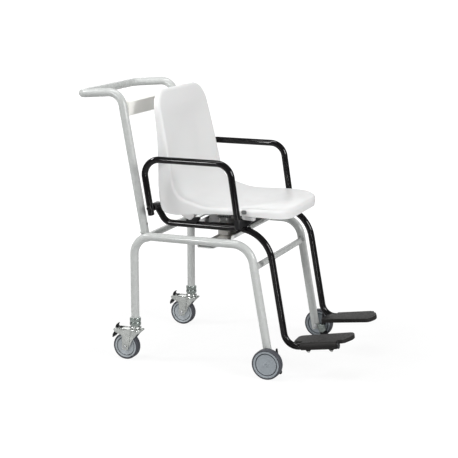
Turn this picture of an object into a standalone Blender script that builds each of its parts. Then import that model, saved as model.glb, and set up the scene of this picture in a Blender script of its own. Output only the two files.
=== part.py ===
"""Wheeled weighing chair. A grey tube frame carries a load cell, and the cell carries the black seat frame.

Metres, +Z up, floor at zero, the sitter looks along -Y. Left is the sitter's left, at +X.
"""

import math

import bmesh
import bpy
from mathutils import Matrix, Vector
from mathutils.bvhtree import BVHTree

# Fits shared by all pieces
SEAT_GAP = 0.0003
RUN_GAP = 0.0005
SIDES = (("left", 1), ("right", -1))
FULL_TURN = math.tau
QUARTER_TURN = math.pi / 2

# Fineness of the round forms
TUBE_SIDES = 12
BEND_STEP = math.radians(17.0)
SEAT_SIDES = 20
WHEEL_SIDES = 24
PIN_SIDES = 10
SHEET_CORNER_STEP = math.radians(30.0)

# Depth of the seat, which sets the place of all that stands behind it
SHELL_FRONT_Y = -0.2566
SHELL_DEPTH = 0.464
SEAT_REAR_Y = SHELL_FRONT_Y + SHELL_DEPTH
REAR_LEG_BEHIND_SEAT = 0.0520
HANDLE_BEHIND_SEAT = 0.0236
PIVOT_BEFORE_REAR = 0.0160

# Grey running frame
FRAME_D = 0.028
FRAME_WALL = 0.0022
FRAME_X = 0.2354
RAIL_Z = 0.4345
REAR_LEG_Y = SEAT_REAR_Y + REAR_LEG_BEHIND_SEAT
REAR_LEG_FOOT_Z = 0.122
REAR_BEND_R = 0.066
FRONT_CORNER_Y = -0.1591
FRONT_BEND_R = 0.071
FRONT_RAKE = 0.181
FRONT_LEG_FOOT_Z = 0.038
FRONT_BAR_D = 0.021
FRONT_BAR_WALL = 0.002
FRONT_BAR_Y = -0.1746
FRONT_BAR_Z = 0.361
REAR_BAR_D = 0.0225
REAR_BAR_WALL = 0.002
REAR_BAR_Z = 0.4245

# Push handle
HANDLE_D = 0.028
HANDLE_WALL = 0.002
HANDLE_X = FRAME_X - FRAME_D / 2 - HANDLE_D / 2 - SEAT_GAP
HANDLE_FOOT_Z = 0.4105
HANDLE_RAIL_Y = SEAT_REAR_Y + HANDLE_BEHIND_SEAT
HANDLE_LEAN = 0.0853
HANDLE_TOP_Y = HANDLE_RAIL_Y + HANDLE_LEAN
HANDLE_TOP_Z = 0.912
HANDLE_TOP_R = 0.050
HANDLE_GRIP_REACH = 0.1541
HANDLE_GRIP_DROP = 0.0122
HANDLE_GRIP_R = 0.034

# Load cell and the trough that carries it
TROUGH_FLOOR_Z = 0.4135
TROUGH_FLOOR_REAR_Y = 0.0226
TROUGH_FLOOR_FRONT_Y = -0.0323
TROUGH_REAR_RUN = 0.0038
TROUGH_REAR_RISE = 0.0095
TROUGH_FRONT_RUN = 0.0568
TROUGH_FRONT_RISE = 0.0335
TROUGH_WALL = 0.0024
TROUGH_HALF_LENGTH = 0.2465
CELL_HALF_LENGTH = 0.080
CELL_WIDTH = 0.038
CELL_Y = -0.0003
CELL_BOTTOM_Z = 0.4260
CELL_HEIGHT = 0.023
CELL_BEVEL = 0.0012
CELL_BORE_D = 0.013
CELL_BORE_PITCH = 0.024
CELL_WEB_HEIGHT = 0.006
CELL_BORE_ROUND_SHARE = 0.9
CELL_END_LENGTH = 0.034
PEDESTAL_WIDTH = 0.038
BOLT_PLATE_SIDE = 0.044
BOLT_PLATE_T = 0.003
BOLT_PITCH = 0.026
BOLT_HEAD_D = 0.0078
BOLT_HEAD_H = 0.011
BOLT_SINK = 0.001

# Black seat frame
BLACK_D = 0.022
BLACK_WALL = 0.002
SEAT_TUBE_X = 0.1985
SEAT_TUBE_Z = 0.480
PIVOT_Y = SEAT_REAR_Y - PIVOT_BEFORE_REAR
PIVOT_Z = 0.535
SEAT_TUBE_REAR_RUN = 0.0340
SEAT_TUBE_REAR_CORNER_Y = PIVOT_Y - SEAT_TUBE_REAR_RUN
SEAT_TUBE_REAR_R = 0.040
SEAT_TUBE_FRONT_R = 0.118
SHIN_RAKE = 0.181
SHIN_Y = -0.2636
SHIN_Z = 0.150
ANKLE_R = 0.047
PLATE_SLOPE = 0.1498
PLATE_AXIS_Y = -0.3156
PLATE_AXIS_Z = 0.1012
TUBE_END_Y = -0.4511
PLUG_FLANGE = 0.003
PLUG_DEPTH = 0.012
CROSS_PLATE_REAR_Y = 0.0484
CROSS_PLATE_FRONT_Y = -0.1076
CROSS_PLATE_T = 0.004
CROSS_PLATE_LIP = 0.010
STRAP_REAR_Y = 0.0944
STRAP_FRONT_Y = 0.0764
STRAP_T = 0.004
LUG_BASE = 0.030
LUG_TIP = 0.014
LUG_WIDTH = 0.012
LUG_COLUMN_SHARES = (-1.0, -0.5, 0.0, 0.5, 1.0)
LUG_REAR_Y = 0.0724
LUG_FRONT_Y = -0.1401

# Armrests
ARM_X = 0.250
ARM_TOP_Z = 0.699
ARM_REAR_CORNER_BEHIND = 0.0274
ARM_REAR_CORNER_Y = PIVOT_Y + ARM_REAR_CORNER_BEHIND
ARM_REAR_FOOT_AHEAD = 0.0037
ARM_REAR_FOOT_Y = PIVOT_Y - ARM_REAR_FOOT_AHEAD
ARM_REAR_FOOT_Z = 0.513
ARM_FRONT_CORNER_Y = -0.0926
ARM_FRONT_FOOT_Y = -0.1240
ARM_FRONT_FOOT_Z = 0.4935
ARM_BEND_R = 0.052
PEG_D = 0.010
PEG_Y = -0.1256
PEG_Z = 0.4825
PEG_END_X = 0.2625
FOOT_WALL = 0.0010
FOOT_HEIGHT = 0.026
FOOT_DROP = 0.0045
PIVOT_BARREL_D = 0.026
PIVOT_BARREL_INNER_X = 0.186
PIVOT_PIN_D = 0.0098
PIVOT_END_X = 0.2665
PIVOT_EDGE = 0.0015

# Footplates, as they lie before they tilt up to the front
PLATE_T = 0.0132
PLATE_BARREL_D = 0.0262
PLATE_BARREL_REAR = 0.010
PLATE_BARREL_FRONT = 0.1335
PLATE_EDGE = 0.0022
PLATE_WIDTH = 0.113
PLATE_LENGTH = 0.180
PLATE_BARREL_MARGIN = 0.014
PLATE_CORNER_R = 0.020
# Plan of the board as shares of its width and length, and the rounding of each corner
PLATE_SHARES = (
    (0.159, -0.125),
    (0.823, -0.153),
    (1.000, 0.903),
    (0.619, 1.000),
    (0.155, 0.883),
)
PLATE_CORNER_SHARES = (0.8, 1.0, 0.9, 3.0, 1.2)

# Front wheels and their brakes
FRONT_WHEEL_Y = -0.2321
FRONT_WHEEL_R = 0.0505
FRONT_WHEEL_W = 0.0265
FRONT_WHEEL_OUTER_X = 0.2785
HUB_SHARE = 0.80
HUB_RIM_SHARE = 0.70
TREAD_ROUND = 0.005
HUB_DISH = 0.0032
HUB_CAP_SHARE = 0.17
AXLE_D = 0.010
AXLE_HEAD_D = 0.017
AXLE_HEAD_H = 0.005
BRAKE_MOUNT_W = 0.0150
BRAKE_MOUNT_INNER_X = 0.2215
BRAKE_PIVOT_Y = -0.2576
BRAKE_PIVOT_Z = 0.0430
BRAKE_PIN_D = 0.007
BRAKE_LEVER_W = 0.0075
BRAKE_MOUNT_LOW_Z = 0.0280
BRAKE_MOUNT_HEIGHT = 0.0290
BRAKE_MOUNT_FRONT_Y = -0.2696
BRAKE_MOUNT_CORNER_R = 0.004
BRAKE_MOUNT_TOP_SET_BACK = 0.005
BRAKE_MOUNT_LOW_SET_BACK = 0.009
BRAKE_MOUNT_NOSE_SHARE = 0.276
BRAKE_LEVER_FRONT_Y = -0.2746
BRAKE_LEVER_DEPTH = 0.0280
BRAKE_LEVER_LOW_Z = 0.0140
BRAKE_LEVER_HEIGHT = 0.0850
BRAKE_LEVER_ROUND = 0.003
# Side view of the lever as shares of its depth and height, and the rounding of each corner
BRAKE_LEVER_SHARES = (
    (0.768, 1.000),
    (0.607, 1.000),
    (0.357, 0.494),
    (0.304, 0.224),
    (0.000, 0.118),
    (0.036, 0.000),
    (1.000, 0.000),
    (1.000, 0.118),
    (0.839, 0.224),
    (0.839, 0.494),
)
BRAKE_LEVER_CORNER_SHARES = (0.5, 0.5, 2.0, 1.7, 1.0, 1.0, 1.0, 1.0, 1.7, 2.0)

# Rear castors
CASTOR_TRAIL = 0.0330
CASTOR_AXLE_Y = REAR_LEG_Y + CASTOR_TRAIL
CASTOR_R = 0.0458
CASTOR_W = 0.026
FORK_GAP = 0.0026
FORK_SHEET = 0.0026
FORK_TOP_Z = 0.1085
FORK_ROOF_Z = 0.1050
SOCKET_D = 0.0375
SOCKET_TOP_Z = 0.149
SOCKET_COLLAR_Z = 0.1215
SOCKET_COLLAR_D = 0.0410
SOCKET_BOTTOM_Z = FORK_TOP_Z + RUN_GAP
STEM_D = 0.014
STEM_HEAD_D = 0.021
STEM_HEAD_H = 0.0035
SPIGOT_D = 0.0225
SPIGOT_TOP_Z = 0.150
CASTOR_AXLE_D = 0.008
CASTOR_NUT_D = 0.015
CASTOR_NUT_H = 0.004
PEDAL_W = 0.0296
PEDAL_PIN_D = 0.006
PEDAL_PIN_TRAIL = 0.0525
PEDAL_Y = REAR_LEG_Y + PEDAL_PIN_TRAIL
PEDAL_Z = 0.0945
FORK_AHEAD = 0.0240
FORK_FRONT_Y = REAR_LEG_Y - FORK_AHEAD
FORK_LENGTH = 0.0960
FORK_LOW_Z = 0.0300
FORK_CORNER_R = 0.0125
FORK_NOTCH_TRAIL = 0.0495
FORK_NOTCH_Y = REAR_LEG_Y + FORK_NOTCH_TRAIL
# Side view of a fork cheek as shares of its length and height, and the rounding of each corner
FORK_SHARES = (
    (0.000, 1.000),
    (0.000, 0.873),
    (0.271, 0.561),
    (0.437, 0.000),
    (0.745, 0.000),
    (0.698, 0.561),
    (0.823, 0.745),
    (1.000, 0.854),
    (0.958, 1.000),
)
FORK_CORNER_SHARES = (0.24, 0.32, 1.4, 1.0, 1.0, 0.8, 0.8, 0.3, 0.2)
PEDAL_FRONT_TRAIL = 0.0470
PEDAL_FRONT_Y = REAR_LEG_Y + PEDAL_FRONT_TRAIL
PEDAL_LENGTH = 0.0350
PEDAL_LOW_Z = 0.0720
PEDAL_HEIGHT = 0.0515
PEDAL_ROUND = 0.002
# Side view of the pedal as shares of its length and height, and the rounding of each corner
PEDAL_SHARES = (
    (0.000, 0.359),
    (0.229, 0.320),
    (0.571, 0.252),
    (0.843, 0.000),
    (1.000, 0.068),
    (0.743, 0.408),
    (0.571, 0.621),
    (0.671, 0.796),
    (0.586, 0.951),
    (0.429, 1.000),
    (0.500, 0.816),
    (0.371, 0.699),
    (0.314, 0.524),
    (0.000, 0.515),
)
PEDAL_CORNER_SHARES = (1.5, 2.0, 2.5, 0.8, 1.0, 3.0, 2.0, 2.0, 1.0, 0.5, 2.0, 2.0, 0.5, 1.5)

# Moulded seat shell, from the front lip to the top
SHELL_WALL = 0.005
SHELL_RIM_R = 0.012
SHELL_CORNER_FRONT_R = 0.130
SHELL_CORNER_TOP_R = 0.092
SHELL_HALF_WIDTH_SEAT = 0.217
SHELL_HALF_WIDTH_TOP = 0.198
SHELL_NARROWING_SHARE = 0.45
SHELL_DISH = 0.016
SHELL_LOW_Z = 0.511
SHELL_HEIGHT = 0.405
SHELL_ROWS = 26
SHELL_COLUMNS = 12
SHELL_CORNER_SHARES = (0.0, 0.05, 0.17, 0.38, 0.66, 1.0)
SHELL_ROLL_TURNS = (math.radians(30.0), math.radians(60.0), QUARTER_TURN)
SHELL_CURVE_STEPS = 12
SHELL_SLOPE_SHARE = 0.01
SHELL_TIP_SHARE = 0.94

# Side view of the shell as shares of its depth and height: first the crown of the rim, then its free edge
SHELL_CROWN_SHARES = (
    (0.000, 0.074),
    (0.112, 0.091),
    (0.328, 0.089),
    (0.543, 0.084),
    (0.662, 0.099),
    (0.741, 0.151),
    (0.793, 0.249),
    (0.836, 0.398),
    (0.873, 0.570),
    (0.905, 0.741),
    (0.935, 0.869),
    (0.966, 1.000),
)
SHELL_EDGE_SHARES = (
    (0.009, 0.000),
    (0.116, 0.022),
    (0.328, 0.039),
    (0.543, 0.031),
    (0.716, 0.010),
    (0.819, 0.004),
    (0.905, 0.038),
    (0.941, 0.210),
    (0.946, 0.442),
    (0.950, 0.652),
    (0.972, 0.832),
    (1.000, 0.993),
)

# Display across the push handle
DISPLAY_DROP = 0.035
DISPLAY_HEIGHT = 0.046
DISPLAY_AHEAD = 0.0156
DISPLAY_TOP_BEHIND = 0.0089
DISPLAY_LOW_BEHIND = 0.0189
DISPLAY_HALF_LENGTH = 0.1985
DISPLAY_WALL = 0.0022
COVER_T = 0.0024
WINDOW_WIDTH = 0.104
WINDOW_HEIGHT = 0.026
WINDOW_X = 0.045
MODULE_MARGIN = 0.006
MODULE_T = 0.006
KEY_D = 0.013
KEY_PITCH = 0.024
KEY_FIRST_X = -0.050
KEY_PROUD = 0.0018
KEY_FLANGE = 0.0012
KEY_COUNT = 3
KEY_TRAVEL_ROOM = 0.0015


def clear_scene():
    for thing in list(bpy.data.objects):
        bpy.data.objects.remove(thing)


def material(name, colour, metallic, roughness):
    made = bpy.data.materials.new(name)
    made.use_nodes = True
    shader = made.node_tree.nodes["Principled BSDF"]
    shader.inputs["Base Color"].default_value = (*colour, 1.0)
    shader.inputs["Metallic"].default_value = metallic
    shader.inputs["Roughness"].default_value = roughness
    return made


def materials():
    return {
        "grey_paint": material("grey_paint", (0.50, 0.52, 0.51), 0.0, 0.38),
        "black_paint": material("black_paint", (0.012, 0.012, 0.013), 0.0, 0.25),
        "shell": material("moulded_seat", (0.80, 0.81, 0.80), 0.0, 0.42),
        "zinc": material("zinc_plate", (0.55, 0.60, 0.57), 1.0, 0.34),
        "steel": material("bright_steel", (0.62, 0.62, 0.60), 1.0, 0.28),
        "aluminium": material("cell_aluminium", (0.70, 0.70, 0.69), 1.0, 0.40),
        "tread": material("tread_rubber", (0.060, 0.068, 0.082), 0.0, 0.62),
        "hub": material("hub_plastic", (0.30, 0.325, 0.36), 0.0, 0.48),
        "black_plastic": material("black_plastic", (0.020, 0.020, 0.022), 0.0, 0.50),
        "footplate": material("footplate_plastic", (0.032, 0.031, 0.032), 0.0, 0.62),
        "housing": material("housing_plastic", (0.72, 0.72, 0.68), 0.0, 0.45),
        "window": material("display_glass", (0.10, 0.13, 0.12), 0.0, 0.10),
        "board": material("circuit_board", (0.02, 0.16, 0.07), 0.0, 0.55),
    }


# Building blocks


def finish(name, mesh, paint, origin=None):
    """Makes the object. With an origin, the mesh is moved so that the object turns about that point."""
    bmesh.ops.remove_doubles(mesh, verts=mesh.verts, dist=1e-7)
    bmesh.ops.recalc_face_normals(mesh, faces=mesh.faces)
    place = Vector(origin) if origin is not None else Vector()
    bmesh.ops.translate(mesh, vec=-place, verts=mesh.verts)
    data = bpy.data.meshes.new(name)
    mesh.to_mesh(data)
    mesh.free()
    data.materials.append(paint)
    data.shade_smooth()
    data.set_sharp_from_angle(angle=math.radians(34.0))
    made = bpy.data.objects.new(name, data)
    made.location = place
    bpy.context.scene.collection.objects.link(made)
    return made


def cutter(name, mesh):
    bmesh.ops.recalc_face_normals(mesh, faces=mesh.faces)
    data = bpy.data.meshes.new(name)
    mesh.to_mesh(data)
    mesh.free()
    made = bpy.data.objects.new(name, data)
    made.hide_render = True
    made.display_type = "WIRE"
    bpy.context.scene.collection.objects.link(made)
    return made


def combine(target, tool, operation):
    step = target.modifiers.new(operation.lower() + "_" + tool.name, "BOOLEAN")
    step.operation = operation
    step.solver = "EXACT"
    step.object = tool
    return target


def soften(target, width, segments=2):
    step = target.modifiers.new("edge_radius", "BEVEL")
    step.width = width
    step.segments = segments
    step.limit_method = "ANGLE"
    step.angle_limit = math.radians(40.0)
    return target


def arc_points(corner, before, after, radius, step):
    """Points of the arc that rounds a corner of a path."""
    if radius == 0:
        return [corner]
    into = (before - corner).normalized()
    away = (after - corner).normalized()
    opening = into.angle(away)
    turn = math.pi - opening
    reach = radius / math.tan(opening / 2)
    centre = corner + (into + away).normalized() * (radius / math.sin(opening / 2))
    start = corner + into * reach - centre
    axis = start.cross(corner + away * reach - centre).normalized()
    count = max(1, round(turn / step))
    return [
        centre + Matrix.Rotation(turn * i / count, 3, axis) @ start
        for i in range(count + 1)
    ]


def rounded(points, radii, step=BEND_STEP, closed=False):
    """A path or outline with its corners rounded."""
    corners = [Vector(p) for p in points]
    count = len(corners)
    made = []
    for i, (corner, radius) in enumerate(zip(corners, radii)):
        end = not closed and i in (0, count - 1)
        if end:
            made.append(corner)
            continue
        made += arc_points(corner, corners[i - 1], corners[(i + 1) % count], radius, step)
    return made


def reach_cylinder(point, direction, cope):
    """How far a point goes along a direction until it meets the cylinder (axis point, axis, radius)."""
    centre, axis, radius = cope
    across = direction - axis * direction.dot(axis)
    offset = (point - centre) - axis * (point - centre).dot(axis)
    a = across.dot(across)
    b = offset.dot(across)
    c = offset.dot(offset) - radius * radius
    return (-b - math.sqrt(max(b * b - a * c, 0.0))) / a


def ring(mesh, centre, side, up, radius, count):
    return [
        mesh.verts.new(
            centre
            + side * (radius * math.cos(FULL_TURN * k / count))
            + up * (radius * math.sin(FULL_TURN * k / count))
        )
        for k in range(count)
    ]


def cross_directions(along):
    """Two directions across an axis, the first as near to upright as it can be."""
    lying = abs(along.z) < abs(along.x) + abs(along.y)
    upright = Vector((0, 0, 1)) if lying else Vector((0, 1, 0))
    side = (upright - along * upright.dot(along)).normalized()
    return side, along.cross(side)


def skin(mesh, rings):
    for first, second in zip(rings, rings[1:]):
        count = len(first)
        for k in range(count):
            following = (k + 1) % count
            mesh.faces.new((first[k], first[following], second[following], second[k]))


def path_frames(path):
    """Tangent and two cross directions for each point of the path, without twist."""
    tangents = []
    for i in range(len(path)):
        before = path[max(i - 1, 0)]
        after = path[min(i + 1, len(path) - 1)]
        tangents.append((after - before).normalized())
    side = cross_directions(tangents[0])[0]
    frames = []
    for i, tangent in enumerate(tangents):
        if i:
            side = tangents[i - 1].rotation_difference(tangent) @ side
        side = (side - tangent * side.dot(tangent)).normalized()
        frames.append((tangent, side, tangent.cross(side)))
    return frames


def cope_ring(verts, direction, cope):
    for vert in verts:
        vert.co += direction * reach_cylinder(vert.co, direction, cope)


def tube_mesh(path, diameter, wall, start_cope=None, end_cope=None, count=TUBE_SIDES):
    """A bent tube with open ends. A cope shapes an end to sit on another round piece."""
    mesh = bmesh.new()
    frames = path_frames(path)
    walls = []
    for radius in (diameter / 2, diameter / 2 - wall):
        rings = [
            ring(mesh, point, side, up, radius, count)
            for point, (_, side, up) in zip(path, frames)
        ]
        if start_cope:
            cope_ring(rings[0], -frames[0][0], start_cope)
        if end_cope:
            cope_ring(rings[-1], frames[-1][0], end_cope)
        walls.append(rings)
    outer, inner = walls
    skin(mesh, outer)
    skin(mesh, [r[::-1] for r in inner])
    skin(mesh, [inner[0], outer[0]])
    skin(mesh, [outer[-1], inner[-1]])
    return mesh


def rod_mesh(path, diameter, count=SEAT_SIDES):
    """A bent solid bar, used as the shape of a seat for a tube."""
    mesh = bmesh.new()
    rings = [
        ring(mesh, point, side, up, diameter / 2, count)
        for point, (_, side, up) in zip(path, path_frames(path))
    ]
    skin(mesh, rings)
    mesh.faces.new(rings[0][::-1])
    mesh.faces.new(rings[-1])
    return mesh


def turned_mesh(profile, origin, axis, count):
    """A turned piece. The profile is (radius, distance along the axis), from one end to the other."""
    mesh = bmesh.new()
    along = Vector(axis).normalized()
    side, up = cross_directions(along)
    start = Vector(origin)
    rings = []
    for radius, distance in profile:
        centre = start + along * distance
        if radius == 0:
            rings.append([mesh.verts.new(centre)])
        else:
            rings.append(ring(mesh, centre, side, up, radius, count))
    for first, second in zip(rings, rings[1:]):
        for k in range(count):
            following = (k + 1) % count
            corners = {
                first[k % len(first)]: None,
                first[following % len(first)]: None,
                second[following % len(second)]: None,
                second[k % len(second)]: None,
            }
            mesh.faces.new(list(corners))
    return mesh


def round_mesh(radius, length, origin, axis, count):
    """A plain round bar, as the shape of a bore or a pin."""
    return turned_mesh(((0, 0), (radius, 0), (radius, length), (0, length)), origin, axis, count)


def looped_mesh(profile, origin, axis, count):
    """A turned piece with a bore: the profile is a closed loop of (radius, distance)."""
    mesh = bmesh.new()
    along = Vector(axis).normalized()
    side, up = cross_directions(along)
    start = Vector(origin)
    rings = [ring(mesh, start + along * d, side, up, r, count) for r, d in profile]
    skin(mesh, rings + rings[:1])
    return mesh


def prism_mesh(outline, low, high, place):
    """An outline extruded from low to high. `place` turns (across, along, height) into a point."""
    mesh = bmesh.new()
    base = [mesh.verts.new(place(p[0], p[1], low)) for p in outline]
    top = [mesh.verts.new(place(p[0], p[1], high)) for p in outline]
    mesh.faces.new(base[::-1])
    mesh.faces.new(top)
    for k in range(len(base)):
        following = (k + 1) % len(base)
        mesh.faces.new((base[k], base[following], top[following], top[k]))
    return mesh


def along_x(y, z, x):
    return Vector((x, y, z))


def along_y(x, z, y):
    return Vector((x, y, z))


def box_mesh(low, high):
    outline = (
        (low[1], low[2]),
        (high[1], low[2]),
        (high[1], high[2]),
        (low[1], high[2]),
    )
    return prism_mesh(outline, low[0], high[0], along_x)


def flat_outline(points, radii, step=SHEET_CORNER_STEP):
    path = rounded([(a, b, 0) for a, b in points], radii, step, closed=True)
    return [(p.x, p.y) for p in path]


def shared_outline(start, span, shares, corner, corner_shares):
    """Rounded outline from points given as shares of a span from a starting point."""
    points = [(start[0] + span[0] * across, start[1] + span[1] * up) for across, up in shares]
    return flat_outline(points, [corner * share for share in corner_shares])


def mirrored_x(x, side):
    """The two ends of a span in X on the given side, lower first."""
    ends = sorted(value * side for value in x)
    return ends[0], ends[1]


# Running frame


def front_leg_y(z):
    return FRONT_CORNER_Y - FRONT_RAKE * (RAIL_Z - z)


def front_leg_cope(side, gap):
    direction = Vector((0, FRONT_RAKE, 1)).normalized()
    centre = Vector((side * FRAME_X, FRONT_CORNER_Y, RAIL_Z))
    return centre, direction, FRAME_D / 2 + gap


def side_frame(label, side, paints):
    x = side * FRAME_X
    corners = (
        (x, REAR_LEG_Y, REAR_LEG_FOOT_Z),
        (x, REAR_LEG_Y, RAIL_Z),
        (x, FRONT_CORNER_Y, RAIL_Z),
        (x, front_leg_y(FRONT_LEG_FOOT_Z), FRONT_LEG_FOOT_Z),
    )
    path = rounded(corners, (0, REAR_BEND_R, FRONT_BEND_R, 0))
    frame = finish("side_frame_" + label, tube_mesh(path, FRAME_D, FRAME_WALL), paints["grey_paint"])
    bore = round_mesh(
        AXLE_D / 2 + SEAT_GAP,
        FRAME_D * 2,
        (side * (FRAME_X - FRAME_D), FRONT_WHEEL_Y, FRONT_WHEEL_R),
        (side, 0, 0),
        PIN_SIDES,
    )
    return combine(frame, cutter("axle_bore_" + label, bore), "DIFFERENCE")


def cross_tube(name, end, diameter, wall, copes, paint):
    """Tube across the frame, from the given end point to the same point on the other side."""
    path = [Vector((x, end.y, end.z)) for x in (-end.x, 0, end.x)]
    return finish(name, tube_mesh(path, diameter, wall, copes[0], copes[1]), paint)


def front_cross_tube(paints):
    copes = [front_leg_cope(side, SEAT_GAP) for side in (-1.0, 1.0)]
    inner = FRAME_X - FRAME_D
    ends = Vector((inner, FRONT_BAR_Y, FRONT_BAR_Z))
    return cross_tube("front_cross_tube", ends, FRONT_BAR_D, FRONT_BAR_WALL, copes, paints["grey_paint"])


def handle_slope():
    return (HANDLE_TOP_Y - HANDLE_RAIL_Y) / (HANDLE_TOP_Z - RAIL_Z)


def handle_y(z):
    return HANDLE_RAIL_Y + handle_slope() * (z - RAIL_Z)


def handle_cope(side, gap):
    direction = Vector((0, handle_slope(), 1)).normalized()
    return Vector((side * HANDLE_X, HANDLE_RAIL_Y, RAIL_Z)), direction, HANDLE_D / 2 + gap


def rear_cross_tube(paints):
    copes = [handle_cope(side, SEAT_GAP) for side in (-1.0, 1.0)]
    inner = HANDLE_X - HANDLE_D
    ends = Vector((inner, handle_y(REAR_BAR_Z), REAR_BAR_Z))
    return cross_tube("rear_cross_tube", ends, REAR_BAR_D, REAR_BAR_WALL, copes, paints["grey_paint"])


def handle_half(side):
    """Corners of one half of the push handle, from its foot to the grip."""
    x = side * HANDLE_X
    return [
        (x, handle_y(HANDLE_FOOT_Z), HANDLE_FOOT_Z),
        (x, HANDLE_TOP_Y, HANDLE_TOP_Z),
        (x, HANDLE_TOP_Y + HANDLE_GRIP_REACH, HANDLE_TOP_Z - HANDLE_GRIP_DROP),
    ]


def push_handle(paints):
    half = handle_half(1.0)
    other = handle_half(-1.0)[::-1]
    radii = (0, HANDLE_TOP_R, HANDLE_GRIP_R, HANDLE_GRIP_R, HANDLE_TOP_R, 0)
    path = rounded(half + other, radii)
    return finish("push_handle", tube_mesh(path, HANDLE_D, HANDLE_WALL), paints["grey_paint"])


# Load cell group


def trough_wall(floor_y, run, rise):
    """Outer and inner line of a leaning wall, each as (point at the inner floor, point at the top)."""
    inward = -math.copysign(TROUGH_WALL * math.hypot(run, rise) / rise, run)
    at_floor = floor_y + run * TROUGH_WALL / rise + inward
    top = TROUGH_FLOOR_Z + rise
    outer = ((floor_y, TROUGH_FLOOR_Z), (floor_y + run, top))
    inner = ((at_floor, TROUGH_FLOOR_Z + TROUGH_WALL), (floor_y + run + inward, top))
    return outer, inner


def trough_outline():
    """Folded channel, open at the top: a short steep wall behind, a long leaning wall in front."""
    rear_outer, rear_inner = trough_wall(TROUGH_FLOOR_REAR_Y, TROUGH_REAR_RUN, TROUGH_REAR_RISE)
    front_outer, front_inner = trough_wall(TROUGH_FLOOR_FRONT_Y, -TROUGH_FRONT_RUN, TROUGH_FRONT_RISE)
    return front_outer[::-1] + rear_outer + rear_inner[::-1] + front_inner


def load_cell_trough(paints):
    mesh = prism_mesh(trough_outline(), -TROUGH_HALF_LENGTH, TROUGH_HALF_LENGTH, along_x)
    trough = finish("load_cell_trough", mesh, paints["grey_paint"])
    radius = FRAME_D / 2 + SEAT_GAP
    front = TROUGH_FLOOR_FRONT_Y - TROUGH_FRONT_RUN - FRAME_D
    rear = TROUGH_FLOOR_REAR_Y + TROUGH_REAR_RUN + FRAME_D
    below = [math.pi * (1 + k / TUBE_SIDES) for k in range(TUBE_SIDES + 1)]
    for label, side in SIDES:
        outline = [(side * FRAME_X + radius * math.cos(a), RAIL_Z + radius * math.sin(a)) for a in below]
        outline.append((side * FRAME_X + radius, RAIL_Z + FRAME_D))
        outline.append((side * FRAME_X - radius, RAIL_Z + FRAME_D))
        saddle = prism_mesh(outline, front, rear, along_y)
        combine(trough, cutter("rail_seat_" + label, saddle), "DIFFERENCE")
    return trough


def load_cell(paints):
    """Bending beam with the two thin places that its gauges measure."""
    front = CELL_Y - CELL_WIDTH / 2
    rear = CELL_Y + CELL_WIDTH / 2
    top = CELL_BOTTOM_Z + CELL_HEIGHT
    mesh = box_mesh((-CELL_HALF_LENGTH, front, CELL_BOTTOM_Z), (CELL_HALF_LENGTH, rear, top))
    beam = finish("load_cell", mesh, paints["aluminium"])
    middle = CELL_BOTTOM_Z + CELL_HEIGHT / 2
    radius = CELL_BORE_D / 2
    rise = CELL_WEB_HEIGHT / 2
    bore_round = radius * CELL_BORE_ROUND_SHARE
    right = rounded(
        (
            (CELL_BORE_PITCH / 2 - radius, rise, 0),
            (CELL_BORE_PITCH / 2 - radius, radius, 0),
            (CELL_BORE_PITCH / 2 + radius, radius, 0),
            (CELL_BORE_PITCH / 2 + radius, -radius, 0),
            (CELL_BORE_PITCH / 2 - radius, -radius, 0),
            (CELL_BORE_PITCH / 2 - radius, -rise, 0),
        ),
        (0, rise, bore_round, bore_round, rise, 0),
        SHEET_CORNER_STEP,
    )
    left = [Vector((-p.x, p.y, 0)) for p in reversed(right)]
    outline = [(p.x, p.y + middle) for p in right + left]
    eye = prism_mesh(outline, front - CELL_WIDTH, rear + CELL_WIDTH, along_y)
    combine(beam, cutter("gauge_eye", eye), "DIFFERENCE")
    return soften(beam, CELL_BEVEL, 1)


def load_cell_pad(paints):
    front = CELL_Y - CELL_WIDTH / 2 + CELL_BEVEL
    rear = CELL_Y + CELL_WIDTH / 2 - CELL_BEVEL
    low = TROUGH_FLOOR_Z + TROUGH_WALL + SEAT_GAP
    high = CELL_BOTTOM_Z - SEAT_GAP
    mesh = box_mesh((CELL_HALF_LENGTH - CELL_END_LENGTH, front, low), (CELL_HALF_LENGTH, rear, high))
    return finish("load_cell_pad", mesh, paints["steel"])


def free_end_x():
    return -CELL_HALF_LENGTH + CELL_END_LENGTH / 2


def load_pedestal(paints):
    """Block that lifts the seat plate off the free end of the cell. It widens to the top."""
    low = CELL_BOTTOM_Z + CELL_HEIGHT + SEAT_GAP
    high = SEAT_TUBE_Z + BLACK_D / 2 - CROSS_PLATE_T - SEAT_GAP
    foot = CELL_END_LENGTH / 2 - CELL_BEVEL
    head = PEDESTAL_WIDTH / 2 + CELL_END_LENGTH / 4
    shoulder = low + (high - low) / 2
    centre = free_end_x()
    outline = (
        (centre - foot, low),
        (centre + foot, low),
        (centre + foot, shoulder),
        (centre + head, high),
        (centre - head, high),
        (centre - foot, shoulder),
    )
    front = CELL_Y - PEDESTAL_WIDTH / 2
    rear = CELL_Y + PEDESTAL_WIDTH / 2
    mesh = prism_mesh(outline, front, rear, along_y)
    return finish("load_pedestal", mesh, paints["black_paint"])


def hexagon(centre, radius, low, high):
    angles = [FULL_TURN * k / 6 for k in range(6)]
    outline = [(centre[0] + radius * math.cos(a), centre[1] + radius * math.sin(a)) for a in angles]
    return prism_mesh(outline, low, high, lambda x, y, z: Vector((x, y, z)))


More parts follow.
